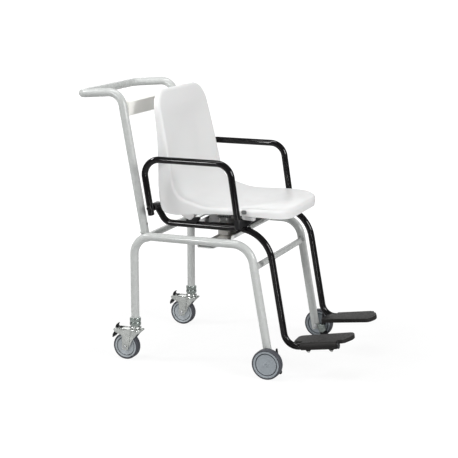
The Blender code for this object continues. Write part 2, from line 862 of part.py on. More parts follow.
def load_bolts(paints):
    """Clamp plate on the seat plate with the four bolt heads above the free end of the cell."""
    low = SEAT_TUBE_Z + BLACK_D / 2 + SEAT_GAP
    half = BOLT_PLATE_SIDE / 2
    centre = (free_end_x(), CELL_Y)
    mesh = box_mesh(
        (centre[0] - half, centre[1] - half, low),
        (centre[0] + half, centre[1] + half, low + BOLT_PLATE_T),
    )
    plate = finish("load_bolts", mesh, paints["steel"])
    head_low = low + BOLT_PLATE_T - BOLT_SINK
    for i in (-1, 1):
        for j in (-1, 1):
            spot = (centre[0] + i * BOLT_PITCH / 2, centre[1] + j * BOLT_PITCH / 2)
            head = hexagon(spot, BOLT_HEAD_D / 2, head_low, head_low + BOLT_HEAD_H)
            combine(plate, cutter(f"bolt_head_{i}_{j}", head), "UNION")
    return plate


# Black seat frame


def shin_y(z):
    return SHIN_Y - SHIN_RAKE * (SHIN_Z - z)


def plate_axis_z(y):
    return PLATE_AXIS_Z + PLATE_SLOPE * (PLATE_AXIS_Y - y)


def ankle():
    """Where the shin line meets the line of the footplate hinge, as (y, z)."""
    z = PLATE_AXIS_Z + PLATE_SLOPE * (PLATE_AXIS_Y - SHIN_Y + SHIN_RAKE * SHIN_Z)
    z /= 1 + PLATE_SLOPE * SHIN_RAKE
    return shin_y(z), z


def seat_tube(label, side, paints):
    x = side * SEAT_TUBE_X
    knee_z = SEAT_TUBE_Z
    ankle_y, ankle_z = ankle()
    start_z = PIVOT_Z - PIVOT_BARREL_D
    rise_share = (start_z - SEAT_TUBE_Z) / (PIVOT_Z - SEAT_TUBE_Z)
    start_y = SEAT_TUBE_REAR_CORNER_Y + (PIVOT_Y - SEAT_TUBE_REAR_CORNER_Y) * rise_share
    corners = (
        (x, start_y, start_z),
        (x, SEAT_TUBE_REAR_CORNER_Y, SEAT_TUBE_Z),
        (x, shin_y(knee_z), knee_z),
        (x, ankle_y, ankle_z),
        (x, TUBE_END_Y, plate_axis_z(TUBE_END_Y)),
    )
    path = rounded(corners, (0, SEAT_TUBE_REAR_R, SEAT_TUBE_FRONT_R, ANKLE_R, 0))
    barrel = (Vector((x, PIVOT_Y, PIVOT_Z)), Vector((1, 0, 0)), PIVOT_BARREL_D / 2 + 2 * SEAT_GAP)
    mesh = tube_mesh(path, BLACK_D, BLACK_WALL, start_cope=barrel)
    return finish("seat_tube_" + label, mesh, paints["black_paint"])


def armrest_pivot(label, side, paints):
    """Barrel across the end of the seat tube. Its pin goes through the armrest and ends in a dome."""
    radius = PIVOT_BARREL_D / 2
    pin = PIVOT_PIN_D / 2
    shoulder = ARM_X - BLACK_D / 2 - RUN_GAP - PIVOT_BARREL_INNER_X
    end = PIVOT_END_X - PIVOT_BARREL_INNER_X
    profile = (
        (0, 0),
        (radius - PIVOT_EDGE, 0),
        (radius, PIVOT_EDGE),
        (radius, shoulder - PIVOT_EDGE),
        (radius - PIVOT_EDGE, shoulder),
        (pin, shoulder),
        (pin, end - PIVOT_EDGE),
        (pin - PIVOT_EDGE, end),
        (0, end),
    )
    mesh = turned_mesh(profile, (side * PIVOT_BARREL_INNER_X, PIVOT_Y, PIVOT_Z), (side, 0, 0), TUBE_SIDES)
    return finish("armrest_pivot_" + label, mesh, paints["black_paint"])


def armrest_peg(label, side, paints):
    """Peg on the seat tube that the front foot of the armrest rests on."""
    start = Vector((side * PEG_END_X, PEG_Y, PEG_Z))
    radius = PEG_D / 2
    along = Vector((-side, 0, 0))
    profile = (
        (0, 0),
        (radius - PIVOT_EDGE, 0),
        (radius, PIVOT_EDGE),
        (radius, BLACK_D),
        (radius / 2, BLACK_D),
        (0, BLACK_D),
    )
    mesh = turned_mesh(profile, start, along, PIN_SIDES)
    point, direction = seat_tube_line(side, PEG_Y)
    far = [v for v in mesh.verts if (v.co - start).dot(along) > BLACK_D / 2]
    cope_ring(far, along, (point, direction, BLACK_D / 2 + 2 * SEAT_GAP))
    return finish("armrest_peg_" + label, mesh, paints["black_paint"])


def tube_plug(label, side, paints):
    """Flanged plug in the front end of the seat tube, which also keeps the footplate on."""
    forward = Vector((0, -1, PLATE_SLOPE)).normalized()
    end = Vector((side * SEAT_TUBE_X, TUBE_END_Y, plate_axis_z(TUBE_END_Y)))
    bore = BLACK_D / 2 - BLACK_WALL - SEAT_GAP
    flange = PLATE_BARREL_D / 2 - SEAT_GAP
    profile = (
        (0, -PLUG_DEPTH),
        (bore, -PLUG_DEPTH),
        (bore, SEAT_GAP),
        (flange, SEAT_GAP),
        (flange, PLUG_FLANGE - SEAT_GAP),
        (flange - PIVOT_EDGE, PLUG_FLANGE + SEAT_GAP),
        (0, PLUG_FLANGE + SEAT_GAP),
    )
    mesh = turned_mesh(profile, end, forward, TUBE_SIDES)
    return finish("tube_plug_" + label, mesh, paints["black_plastic"])


def front_bend():
    """Centre of the knee bend of the seat tube, as (y, z)."""
    turn = QUARTER_TURN - math.atan(SHIN_RAKE)
    start = shin_y(SEAT_TUBE_Z) + SEAT_TUBE_FRONT_R * math.tan(turn / 2)
    return start, SEAT_TUBE_Z - SEAT_TUBE_FRONT_R


def seat_tube_line(side, y):
    """Point on the centre line of the seat tube above the rail, and the direction of the tube there."""
    centre_y, centre_z = front_bend()
    ahead = min(y - centre_y, 0.0)
    rise = math.sqrt(SEAT_TUBE_FRONT_R**2 - ahead**2)
    direction = Vector((0, rise, -ahead)).normalized()
    return Vector((side * SEAT_TUBE_X, y, centre_z + rise)), direction


def seat_tube_chord(z):
    """Half width of the seat tube's section at a height."""
    radius = BLACK_D / 2 + SEAT_GAP
    return math.sqrt(max(radius * radius - (z - SEAT_TUBE_Z) ** 2, 0.0))


def bridge_between_tubes(name, rear, front, top, thickness, lip, paint):
    """Plate welded between the two seat tubes, with a lip turned down at the front and the rear."""
    low = top - thickness
    outline = [
        (front, low - lip),
        (front, top),
        (rear, top),
        (rear, low - lip),
        (rear - thickness, low - lip),
        (rear - thickness, low),
        (front + thickness, low),
        (front + thickness, low - lip),
    ]
    if lip == 0:
        outline = [(front, low), (front, top), (rear, top), (rear, low)]
    widest = min(max(SEAT_TUBE_Z, low - lip), top)
    reach = SEAT_TUBE_X - seat_tube_chord(widest)
    return finish(name, prism_mesh(outline, -reach, reach, along_x), paint)


def seat_cross_plate(paints):
    top = SEAT_TUBE_Z + BLACK_D / 2
    return bridge_between_tubes(
        "seat_cross_plate",
        CROSS_PLATE_REAR_Y,
        CROSS_PLATE_FRONT_Y,
        top,
        CROSS_PLATE_T,
        CROSS_PLATE_LIP,
        paints["black_paint"],
    )


def rear_strap(paints):
    top = SEAT_TUBE_Z + BLACK_D / 2 - STRAP_T
    return bridge_between_tubes(
        "rear_strap",
        STRAP_REAR_Y,
        STRAP_FRONT_Y,
        top,
        STRAP_T,
        0,
        paints["zinc"],
    )


def seat_lug(name, side, y, shell, paint):
    """Tapered lug, hollowed below to the seat tube and shaped above to the underside of the shell."""
    radius = BLACK_D / 2 + SEAT_GAP
    x = side * SEAT_TUBE_X
    half = LUG_WIDTH / 2
    ends = (-1.0, 0.0, 1.0)
    rows = [(end, LUG_BASE) for end in ends] + [(end, LUG_TIP) for end in reversed(ends)]
    mesh = bmesh.new()
    loops = []
    for share in LUG_COLUMN_SHARES:
        across = half * share
        loop = []
        for end, length in rows:
            at = y + end * length / 2
            point, direction = seat_tube_line(side, at)
            seat = point.z + math.sqrt(radius**2 - across**2) / direction.y
            if length == LUG_TIP:
                hit = shell.ray_cast(Vector((x + across, at, seat)), Vector((0, 0, 1)))[0]
                seat = hit.z - 3 * SEAT_GAP
            loop.append(mesh.verts.new((x + across, at, seat)))
        loops.append(loop)
    skin(mesh, loops)
    for loop in (loops[0], loops[-1][::-1]):
        mesh.faces.new((loop[0], loop[1], loop[4], loop[5]))
        mesh.faces.new((loop[1], loop[2], loop[3], loop[4]))
    return finish(name, mesh, paint)


# Armrests


def armrest(label, side, paints):
    x = side * ARM_X
    corners = (
        (x, ARM_FRONT_FOOT_Y, ARM_FRONT_FOOT_Z),
        (x, ARM_FRONT_CORNER_Y, ARM_TOP_Z),
        (x, ARM_REAR_CORNER_Y, ARM_TOP_Z),
        (x, ARM_REAR_FOOT_Y, ARM_REAR_FOOT_Z),
    )
    path = rounded(corners, (0, ARM_BEND_R, ARM_BEND_R, 0))
    mesh = tube_mesh(path, BLACK_D, BLACK_WALL)
    arm = finish("armrest_" + label, mesh, paints["black_paint"], (x, PIVOT_Y, PIVOT_Z))
    radius = PIVOT_PIN_D / 2 + SEAT_GAP
    bore = round_mesh(
        radius,
        BLACK_D * 2,
        (side * (ARM_X - BLACK_D), PIVOT_Y, PIVOT_Z),
        (side, 0, 0),
        PIN_SIDES,
    )
    return combine(arm, cutter("pivot_bore_" + label, bore), "DIFFERENCE")


def armrest_foot(label, side, paints):
    """Cap on the front foot of the armrest, with a saddle that sits on the peg."""
    foot = Vector((side * ARM_X, ARM_FRONT_FOOT_Y, ARM_FRONT_FOOT_Z))
    corner = Vector((side * ARM_X, ARM_FRONT_CORNER_Y, ARM_TOP_Z))
    up = (corner - foot).normalized()
    inner = BLACK_D / 2 + SEAT_GAP
    outer = inner + FOOT_WALL
    floor = -SEAT_GAP
    low = -(ARM_FRONT_FOOT_Z - PEG_Z) + FOOT_DROP
    profile = (
        (0, floor),
        (inner, floor),
        (inner, FOOT_HEIGHT),
        (outer, FOOT_HEIGHT),
        (outer, low),
        (outer - PIVOT_EDGE, low - PIVOT_EDGE),
        (0, low - PIVOT_EDGE),
    )
    mesh = turned_mesh(profile, foot, up, TUBE_SIDES)
    cap = finish("armrest_foot_" + label, mesh, paints["black_plastic"], (side * ARM_X, PIVOT_Y, PIVOT_Z))
    radius = PEG_D / 2 + SEAT_GAP
    notch = round_mesh(
        radius,
        BLACK_D * 2,
        (side * (ARM_X - BLACK_D), PEG_Y, PEG_Z),
        (side, 0, 0),
        SEAT_SIDES,
    )
    return combine(cap, cutter("peg_seat_" + label, notch), "DIFFERENCE")


# Footplates


def plate_outline():
    """Plan of a footplate: distance inboard from its hinge axis, distance forward from the axis point."""
    board = [(PLATE_WIDTH * across, PLATE_LENGTH * along) for across, along in PLATE_SHARES]
    rear = [(0, PLATE_BARREL_REAR), (PLATE_BARREL_MARGIN, PLATE_BARREL_REAR)]
    front = [(PLATE_BARREL_MARGIN, PLATE_BARREL_FRONT), (0, PLATE_BARREL_FRONT)]
    rounding = [PLATE_CORNER_R * share for share in PLATE_CORNER_SHARES]
    return flat_outline(rear + board + front, [0, 0] + rounding + [0, 0])


def plate_frame(side):
    """Turns (inboard, forward, up) of the tilted footplate into a point."""
    tilt = math.atan(PLATE_SLOPE)
    forward = Vector((0, -math.cos(tilt), math.sin(tilt)))
    up = Vector((0, math.sin(tilt), math.cos(tilt)))
    start = Vector((side * SEAT_TUBE_X, PLATE_AXIS_Y, PLATE_AXIS_Z))
    return lambda a, f, h: start + Vector((-side * a, 0, 0)) + forward * f + up * h


def footplate(label, side, paints):
    """Board with the hinge barrel moulded along its outer edge."""
    place = plate_frame(side)
    top = PLATE_BARREL_D / 2
    mesh = prism_mesh(plate_outline(), top - PLATE_T, top, place)
    origin = place(0, (PLATE_BARREL_REAR + PLATE_BARREL_FRONT) / 2, 0)
    board = finish("footplate_" + label, mesh, paints["footplate"], origin)
    soften(board, PLATE_EDGE)
    forward = place(0, 1, 0) - place(0, 0, 0)
    barrel = turned_mesh(
        (
            (0, PLATE_BARREL_REAR),
            (PLATE_BARREL_D / 2, PLATE_BARREL_REAR),
            (PLATE_BARREL_D / 2, PLATE_BARREL_FRONT),
            (0, PLATE_BARREL_FRONT),
        ),
        place(0, 0, 0),
        forward,
        SEAT_SIDES,
    )
    combine(board, cutter("hinge_barrel_" + label, barrel), "UNION")
    bore_radius = BLACK_D / 2 + SEAT_GAP
    margin = PLATE_BARREL_D
    bore = turned_mesh(
        (
            (0, PLATE_BARREL_REAR - margin),
            (bore_radius, PLATE_BARREL_REAR - margin),
            (bore_radius, PLATE_BARREL_FRONT + margin),
            (0, PLATE_BARREL_FRONT + margin),
        ),
        place(0, 0, 0),
        forward,
        SEAT_SIDES,
    )
    return combine(board, cutter("hinge_bore_" + label, bore), "DIFFERENCE")


# Wheels


def wheel_tread(name, radius, width, centre, outward, paint):
    """Tyre ring with rounded shoulders on a straight seat."""
    seat = radius * HUB_SHARE
    half = width / 2
    profile = (
        (seat, -half + TREAD_ROUND / 2),
        (seat, half - TREAD_ROUND / 2),
        (radius - TREAD_ROUND, half),
        (radius - TREAD_ROUND / 4, half - TREAD_ROUND / 2),
        (radius, half - TREAD_ROUND),
        (radius, -half + TREAD_ROUND),
        (radius - TREAD_ROUND / 4, -half + TREAD_ROUND / 2),
        (radius - TREAD_ROUND, -half),
    )
    return finish(name, looped_mesh(profile, centre, (outward, 0, 0), WHEEL_SIDES), paint, centre)


def wheel_hub(name, radius, width, centre, outward, bore_radius, blind, paint):
    """Disc with a raised rim and a bore. A blind bore ends in a closed cap on the outer face."""
    rim = radius * HUB_SHARE - SEAT_GAP
    inner_rim = radius * HUB_RIM_SHARE
    cap = radius * HUB_CAP_SHARE
    half = width / 2 - TREAD_ROUND / 2
    face = half - HUB_DISH
    if blind:
        profile = (
            (0, half - 2 * HUB_DISH),
            (bore_radius, half - 2 * HUB_DISH),
            (bore_radius, -half),
            (cap * 2, -half),
            (cap * 2, -face),
            (inner_rim, -face),
            (inner_rim, -half),
            (rim, -half),
            (rim, half),
            (inner_rim, half),
            (inner_rim - HUB_DISH, face),
            (cap + HUB_DISH, face),
            (cap, half),
            (0, half),
        )
        mesh = turned_mesh(profile, centre, (outward, 0, 0), WHEEL_SIDES)
        return finish(name, mesh, paint, centre)
    profile = (
        (bore_radius, -half),
        (cap, -half),
        (cap + HUB_DISH, -face),
        (inner_rim - HUB_DISH, -face),
        (inner_rim, -half),
        (rim, -half),
        (rim, half),
        (inner_rim, half),
        (inner_rim - HUB_DISH, face),
        (cap + HUB_DISH, face),
        (cap, half),
        (bore_radius, half),
    )
    return finish(name, looped_mesh(profile, centre, (outward, 0, 0), WHEEL_SIDES), paint, centre)


def front_wheel(label, side, paints):
    """Tyre and hub on the fixed axle. The hub is closed on the outside by its cap."""
    centre = Vector((side * (FRONT_WHEEL_OUTER_X - FRONT_WHEEL_W / 2), FRONT_WHEEL_Y, FRONT_WHEEL_R))
    size = (FRONT_WHEEL_R, FRONT_WHEEL_W)
    bore = AXLE_D / 2 + RUN_GAP
    wheel_tread("front_wheel_tread_" + label, *size, centre, side, paints["tread"])
    wheel_hub("front_wheel_hub_" + label, *size, centre, side, bore, True, paints["hub"])


def castor_wheel(label, side, paints):
    """Tyre and hub on the castor's axle, with a bore right through."""
    centre = Vector((side * FRAME_X, CASTOR_AXLE_Y, CASTOR_R))
    size = (CASTOR_R, CASTOR_W)
    bore = CASTOR_AXLE_D / 2 + RUN_GAP
    wheel_tread("castor_tread_" + label, *size, centre, side, paints["tread"])
    wheel_hub("castor_hub_" + label, *size, centre, side, bore, False, paints["hub"])


def front_axle(label, side, paints):
    """Bolt through the leg, its head on the inner side, its end in the blind bore of the wheel."""
    inner = FRAME_X - FRAME_D / 2 - SEAT_GAP
    centre_x = FRONT_WHEEL_OUTER_X - FRONT_WHEEL_W / 2
    blind_end = centre_x + FRONT_WHEEL_W / 2 - TREAD_ROUND / 2 - 2 * HUB_DISH
    length = blind_end - RUN_GAP * 2 - inner + AXLE_HEAD_H
    profile = (
        (0, 0),
        (AXLE_HEAD_D / 2 - PIVOT_EDGE, 0),
        (AXLE_HEAD_D / 2, PIVOT_EDGE),
        (AXLE_HEAD_D / 2, AXLE_HEAD_H),
        (AXLE_D / 2, AXLE_HEAD_H),
        (AXLE_D / 2, length - PIVOT_EDGE),
        (AXLE_D / 2 - PIVOT_EDGE, length),
        (0, length),
    )
    start = (side * (inner - AXLE_HEAD_H), FRONT_WHEEL_Y, FRONT_WHEEL_R)
    mesh = turned_mesh(profile, start, (side, 0, 0), PIN_SIDES)
    return finish("front_axle_" + label, mesh, paints["steel"])


def front_brake_mount(label, side, paints):
    """Stamped block welded to the front of the leg foot, with the pin that the brake lever turns on."""
    low = BRAKE_MOUNT_LOW_Z
    high = low + BRAKE_MOUNT_HEIGHT
    gap = FRAME_D / 2 * math.sqrt(1 + FRONT_RAKE**2) + SEAT_GAP
    front = BRAKE_MOUNT_FRONT_Y
    corner = BRAKE_MOUNT_CORNER_R
    outline = flat_outline(
        (
            (front_leg_y(low) - gap, low),
            (front_leg_y(high) - gap, high),
            (front + BRAKE_MOUNT_TOP_SET_BACK, high),
            (front, low + BRAKE_MOUNT_HEIGHT * BRAKE_MOUNT_NOSE_SHARE),
            (front + BRAKE_MOUNT_LOW_SET_BACK, low),
        ),
        (0, 0, corner, corner, corner),
    )
    ends = mirrored_x((BRAKE_MOUNT_INNER_X, BRAKE_MOUNT_INNER_X + BRAKE_MOUNT_W), side)
    block = finish("front_brake_mount_" + label, prism_mesh(outline, *ends, along_x), paints["zinc"])
    radius = BRAKE_PIN_D / 2
    length = BRAKE_MOUNT_W / 2 + BRAKE_LEVER_W + RUN_GAP * 2
    pin = round_mesh(
        radius,
        length,
        (side * (BRAKE_MOUNT_INNER_X + BRAKE_MOUNT_W / 2), BRAKE_PIVOT_Y, BRAKE_PIVOT_Z),
        (side, 0, 0),
        PIN_SIDES,
    )
    return combine(block, cutter("brake_pin_" + label, pin), "UNION")


def front_brake_lever(label, side, paints):
    """Lever with a toe pad below and a lock tab that stands up beside the wheel."""
    outline = shared_outline(
        (BRAKE_LEVER_FRONT_Y, BRAKE_LEVER_LOW_Z),
        (BRAKE_LEVER_DEPTH, BRAKE_LEVER_HEIGHT),
        BRAKE_LEVER_SHARES,
        BRAKE_LEVER_ROUND,
        BRAKE_LEVER_CORNER_SHARES,
    )
    start = BRAKE_MOUNT_INNER_X + BRAKE_MOUNT_W + RUN_GAP
    ends = mirrored_x((start, start + BRAKE_LEVER_W), side)
    origin = (side * start, BRAKE_PIVOT_Y, BRAKE_PIVOT_Z)
    mesh = prism_mesh(outline, *ends, along_x)
    lever = finish("front_brake_lever_" + label, mesh, paints["black_plastic"], origin)
    radius = BRAKE_PIN_D / 2 + SEAT_GAP
    bore = round_mesh(
        radius,
        BRAKE_LEVER_W * 2,
        (side * (start - BRAKE_LEVER_W / 2), BRAKE_PIVOT_Y, BRAKE_PIVOT_Z),
        (side, 0, 0),
        PIN_SIDES,
    )
    return combine(lever, cutter("lever_bore_" + label, bore), "DIFFERENCE")


def castor_socket(label, side, paints):
    """Plated socket round the foot of the rear leg, with the stem that the fork swivels on."""
    inner = FRAME_D / 2 + SEAT_GAP
    spigot = SPIGOT_D / 2
    floor = REAR_LEG_FOOT_Z - SEAT_GAP
    profile = (
        (0, SPIGOT_TOP_Z),
        (spigot, SPIGOT_TOP_Z),
        (spigot, floor),
        (inner, floor),
        (inner, SOCKET_TOP_Z),
        (SOCKET_D / 2, SOCKET_TOP_Z),
        (SOCKET_D / 2, SOCKET_COLLAR_Z),
        (SOCKET_COLLAR_D / 2, SOCKET_COLLAR_Z),
        (SOCKET_COLLAR_D / 2, SOCKET_BOTTOM_Z),
        (STEM_D / 2, SOCKET_BOTTOM_Z),
        (STEM_D / 2, FORK_ROOF_Z - RUN_GAP),
        (STEM_HEAD_D / 2, FORK_ROOF_Z - RUN_GAP),
        (STEM_HEAD_D / 2, FORK_ROOF_Z - RUN_GAP - STEM_HEAD_H),
        (0, FORK_ROOF_Z - RUN_GAP - STEM_HEAD_H),
    )
    mesh = turned_mesh(profile, (side * FRAME_X, REAR_LEG_Y, 0), (0, 0, 1), TUBE_SIDES)
    return finish("castor_socket_" + label, mesh, paints["zinc"])


def fork_outline():
    """Cheek of the castor fork, from the wide roof down to the axle."""
    return shared_outline(
        (FORK_FRONT_Y, FORK_LOW_Z),
        (FORK_LENGTH, FORK_TOP_Z - FORK_LOW_Z),
        FORK_SHARES,
        FORK_CORNER_R,
        FORK_CORNER_SHARES,
    )


def castor_fork(label, side, paints):
    """Folded fork: two cheeks and a roof left standing round the space of the wheel."""
    half_inner = CASTOR_W / 2 + FORK_GAP
    half_outer = half_inner + FORK_SHEET
    ends = (side * FRAME_X - half_outer, side * FRAME_X + half_outer)
    origin = (side * FRAME_X, REAR_LEG_Y, FORK_TOP_Z)
    mesh = prism_mesh(fork_outline(), *ends, along_x)
    fork = finish("castor_fork_" + label, mesh, paints["zinc"], origin)
    space = box_mesh(
        (side * FRAME_X - half_inner, CASTOR_AXLE_Y - CASTOR_R * 2, -CASTOR_R),
        (side * FRAME_X + half_inner, CASTOR_AXLE_Y + CASTOR_R * 2, FORK_ROOF_Z),
    )
    combine(fork, cutter("wheel_space_" + label, space), "DIFFERENCE")
    notch = box_mesh(
        (side * FRAME_X - half_inner, FORK_NOTCH_Y, FORK_ROOF_Z - CASTOR_R),
        (side * FRAME_X + half_inner, FORK_NOTCH_Y + FORK_LENGTH, FORK_TOP_Z + CASTOR_R),
    )
    combine(fork, cutter("pedal_space_" + label, notch), "DIFFERENCE")
    holes = (
        ("stem_hole_", (side * FRAME_X, REAR_LEG_Y, FORK_ROOF_Z - FORK_TOP_Z), (0, 0, 1), STEM_D),
        ("axle_hole_", (side * FRAME_X - FORK_TOP_Z, CASTOR_AXLE_Y, CASTOR_R), (1, 0, 0), CASTOR_AXLE_D),
        ("pedal_hole_", (side * FRAME_X - FORK_TOP_Z, PEDAL_Y, PEDAL_Z), (1, 0, 0), PEDAL_PIN_D),
    )
    for name, start, axis, diameter in holes:
        radius = diameter / 2 + SEAT_GAP
        length = FORK_TOP_Z * 2
        mesh = round_mesh(radius, length, start, axis, SEAT_SIDES)
        combine(fork, cutter(name + label, mesh), "DIFFERENCE")
    return fork


def castor_axle(label, side, paints):
    half = CASTOR_W / 2 + FORK_GAP + FORK_SHEET + SEAT_GAP
    radius = CASTOR_AXLE_D / 2
    nut = CASTOR_NUT_D / 2
    profile = (
        (0, -half - CASTOR_NUT_H),
        (nut - PIVOT_EDGE, -half - CASTOR_NUT_H),
        (nut, -half - CASTOR_NUT_H + PIVOT_EDGE),
        (nut, -half),
        (radius, -half),
        (radius, half),
        (nut, half),
        (nut, half + CASTOR_NUT_H - PIVOT_EDGE),
        (nut - PIVOT_EDGE, half + CASTOR_NUT_H),
        (0, half + CASTOR_NUT_H),
    )
    centre = (side * FRAME_X, CASTOR_AXLE_Y, CASTOR_R)
    mesh = turned_mesh(profile, centre, (1, 0, 0), PIN_SIDES)
    return finish("castor_axle_" + label, mesh, paints["steel"], centre)


def castor_brake(label, side, paints):
    """Rocker pedal on the fork: the tongue locks, the ear above lets go. It has its own pin."""
    outline = shared_outline(
        (PEDAL_FRONT_Y, PEDAL_LOW_Z),
        (PEDAL_LENGTH, PEDAL_HEIGHT),
        PEDAL_SHARES,
        PEDAL_ROUND,
        PEDAL_CORNER_SHARES,
    )
    half = PEDAL_W / 2
    ends = (side * FRAME_X - half, side * FRAME_X + half)
    origin = (side * FRAME_X, PEDAL_Y, PEDAL_Z)
    mesh = prism_mesh(outline, *ends, along_x)
    pedal = finish("castor_brake_" + label, mesh, paints["black_plastic"], origin)
    reach = CASTOR_W / 2 + FORK_GAP + FORK_SHEET + RUN_GAP
    start = (side * FRAME_X - reach, PEDAL_Y, PEDAL_Z)
    pin = round_mesh(PEDAL_PIN_D / 2, 2 * reach, start, (1, 0, 0), PIN_SIDES)
    return combine(pedal, cutter("pedal_pin_" + label, pin), "UNION")


# Seat shell


def shell_points(shares):
    """Side view points of the shell, as (y, z)."""
    return [
        (SHELL_FRONT_Y + SHELL_DEPTH * along, SHELL_LOW_Z + SHELL_HEIGHT * up)
        for along, up in shares
    ]


def smooth_curve(points):
    """Closely spaced points on a smooth curve through the given ones."""
    fine = []
    last = len(points) - 1
    for i in range(last):
        picked = [points[min(max(i + k, 0), last)] for k in (-1, 0, 1, 2)]
        before, start, end, after = [Vector((*point, 0)) for point in picked]
        leaving = (end - before) / 2
        arriving = (after - start) / 2
        for j in range(SHELL_CURVE_STEPS):
            t = j / SHELL_CURVE_STEPS
            turned = (3 * (end - start) - 2 * leaving - arriving) * t**2
            closed = (2 * (start - end) + leaving + arriving) * t**3
            fine.append(start + leaving * t + turned + closed)
    fine.append(Vector((*points[last], 0)))
    return fine


def curve_at(fine, share):
    place = min(max(share, 0.0), 1.0) * (len(fine) - 1)
    i = min(int(place), len(fine) - 2)
    return fine[i].lerp(fine[i + 1], place - i)


def shell_half_width(share):
    """The seat is as wide as the frame allows. The back narrows a little to the top."""
    rise = max((share - SHELL_NARROWING_SHARE) / (1 - SHELL_NARROWING_SHARE), 0.0)
    return SHELL_HALF_WIDTH_SEAT + (SHELL_HALF_WIDTH_TOP - SHELL_HALF_WIDTH_SEAT) * rise


def shell_side_curves():
    """Crown and free edge of the rim as fine curves, and the length of the crown."""
    crown = smooth_curve(shell_points(SHELL_CROWN_SHARES))
    edge = smooth_curve(shell_points(SHELL_EDGE_SHARES))
    length = sum((b - a).length for a, b in zip(crown, crown[1:]))
    return crown, edge, length


def corner_inset(distance, radius):
    """How far the outline draws in at this distance from the end of a rounded corner."""
    if distance >= radius:
        return 0.0
    return radius - math.sqrt(max(radius**2 - (radius - distance) ** 2, 0.0))


def shell_rows(length):
    """Distances of the rows from the front end, and the half width of the flat part of each."""
    start = SHELL_RIM_R
    end = length - SHELL_RIM_R
    front_r = SHELL_CORNER_FRONT_R - SHELL_RIM_R
    top_r = SHELL_CORNER_TOP_R - SHELL_RIM_R
    distances = [start + front_r * share for share in SHELL_CORNER_SHARES]
    inner_rows = SHELL_ROWS - 2 * len(SHELL_CORNER_SHARES)
    low = start + front_r
    high = end - top_r
    distances += [low + (high - low) * i / (inner_rows + 1) for i in range(1, inner_rows + 1)]
    distances += [end - top_r * share for share in reversed(SHELL_CORNER_SHARES)]
    rows = []
    for distance in distances:
        inset = max(corner_inset(distance - start, front_r), corner_inset(end - distance, top_r))
        width = shell_half_width(distance / length) - SHELL_RIM_R - inset
        rows.append((distance, width))
    return rows


def shell_frame(crown, edge, length, distance):
    """Point, travel, rim direction and normal at a distance along the crown."""
    share = distance / length
    here = curve_at(crown, share)
    ahead = curve_at(crown, share + SHELL_SLOPE_SHARE)
    behind = curve_at(crown, share - SHELL_SLOPE_SHARE)
    travel = (ahead - behind).normalized()
    down = curve_at(edge, share) - here
    normal = Vector((-travel.y, travel.x, 0))
    return here, travel, down, normal


def lift(x, flat):
    return Vector((x, flat.x, flat.y))


def seat_shell(paints):
    """One-piece moulding. A dished sheet runs from the front lip over the seat and up the back,
    and its rim rolls over and stands down behind it all the way round. Returns its surface."""
    crown, edge, length = shell_side_curves()
    rows = shell_rows(length)
    columns = [2 * j / SHELL_COLUMNS - 1 for j in range(SHELL_COLUMNS + 1)]
    mesh = bmesh.new()
    skins = []
    for depth in (0.0, SHELL_WALL):
        skins.append(shell_skin(mesh, crown, edge, length, rows, columns, depth))
    (top_grid, top_rim), (low_grid, low_rim) = skins
    for grid, flip in ((top_grid, False), (low_grid, True)):
        for first, second in zip(grid, grid[1:]):
            for j in range(len(columns) - 1):
                quad = [first[j], first[j + 1], second[j + 1], second[j]]
                mesh.faces.new(quad[::-1] if flip else quad)
    skin(mesh, top_rim)
    skin(mesh, [loop[::-1] for loop in low_rim])
    skin(mesh, [top_rim[-1], low_rim[-1]])
    surface = BVHTree.FromBMesh(mesh)
    finish("seat_shell", mesh, paints["shell"])
    return surface


def shell_skin(mesh, crown, edge, length, rows, columns, depth):
    """One face of the sheet: the dished grid and the loops of the rolled rim."""
    grid = []
    frames = [shell_frame(crown, edge, length, distance) for distance, _ in rows]
    last = len(rows) - 1
    for i, ((distance, width), (here, travel, down, normal)) in enumerate(zip(rows, frames)):
        ends = min(distance - rows[0][0], rows[last][0] - distance)
        fade = min(ends / SHELL_CORNER_TOP_R, 1.0)
        line = []
        for share in columns:
            dish = SHELL_DISH * fade * (1 - share * share)
            line.append(mesh.verts.new(lift(width * share, here - normal * (dish + depth))))
        grid.append(line)
    loop = [(i, len(columns) - 1, 1.0) for i in range(len(rows))]
    top_line = [(last, j, 0.0) for j in range(len(columns) - 2, 0, -1)]
    back = [(i, 0, -1.0) for i in range(last, -1, -1)]
    front_line = [(0, j, 0.0) for j in range(1, len(columns) - 1)]
    boundary = loop + top_line + back + front_line
    rim = [[grid[i][j] for i, j, _ in boundary]]
    roll = SHELL_RIM_R - depth
    outward = [outline_normal(rows, i, j, columns, last) for i, j, _ in boundary]
    for turn in SHELL_ROLL_TURNS:
        loop_verts = []
        for (i, j, _), (across, along) in zip(boundary, outward):
            distance, width = rows[i]
            here, travel, down, normal = frames[i]
            base = lift(width * columns[j], here - normal * depth)
            sideways = Vector((across, 0, 0)) + lift(0, travel) * along
            sink = lift(0, down.normalized())
            outward_part = sideways * (roll * math.sin(turn))
            sunk_part = sink * (roll * (1 - math.cos(turn)))
            loop_verts.append(mesh.verts.new(base + outward_part + sunk_part))
        rim.append(loop_verts)
    edge_verts = []
    for (i, j, _), (across, along) in zip(boundary, outward):
        distance, width = rows[i]
        here, travel, down, normal = frames[i]
        base = lift(width * columns[j], here)
        sideways = Vector((across, 0, 0)) + lift(0, travel) * along
        edge_verts.append(mesh.verts.new(base + sideways * roll + lift(0, down)))
    rim.append(edge_verts)
    return grid, rim


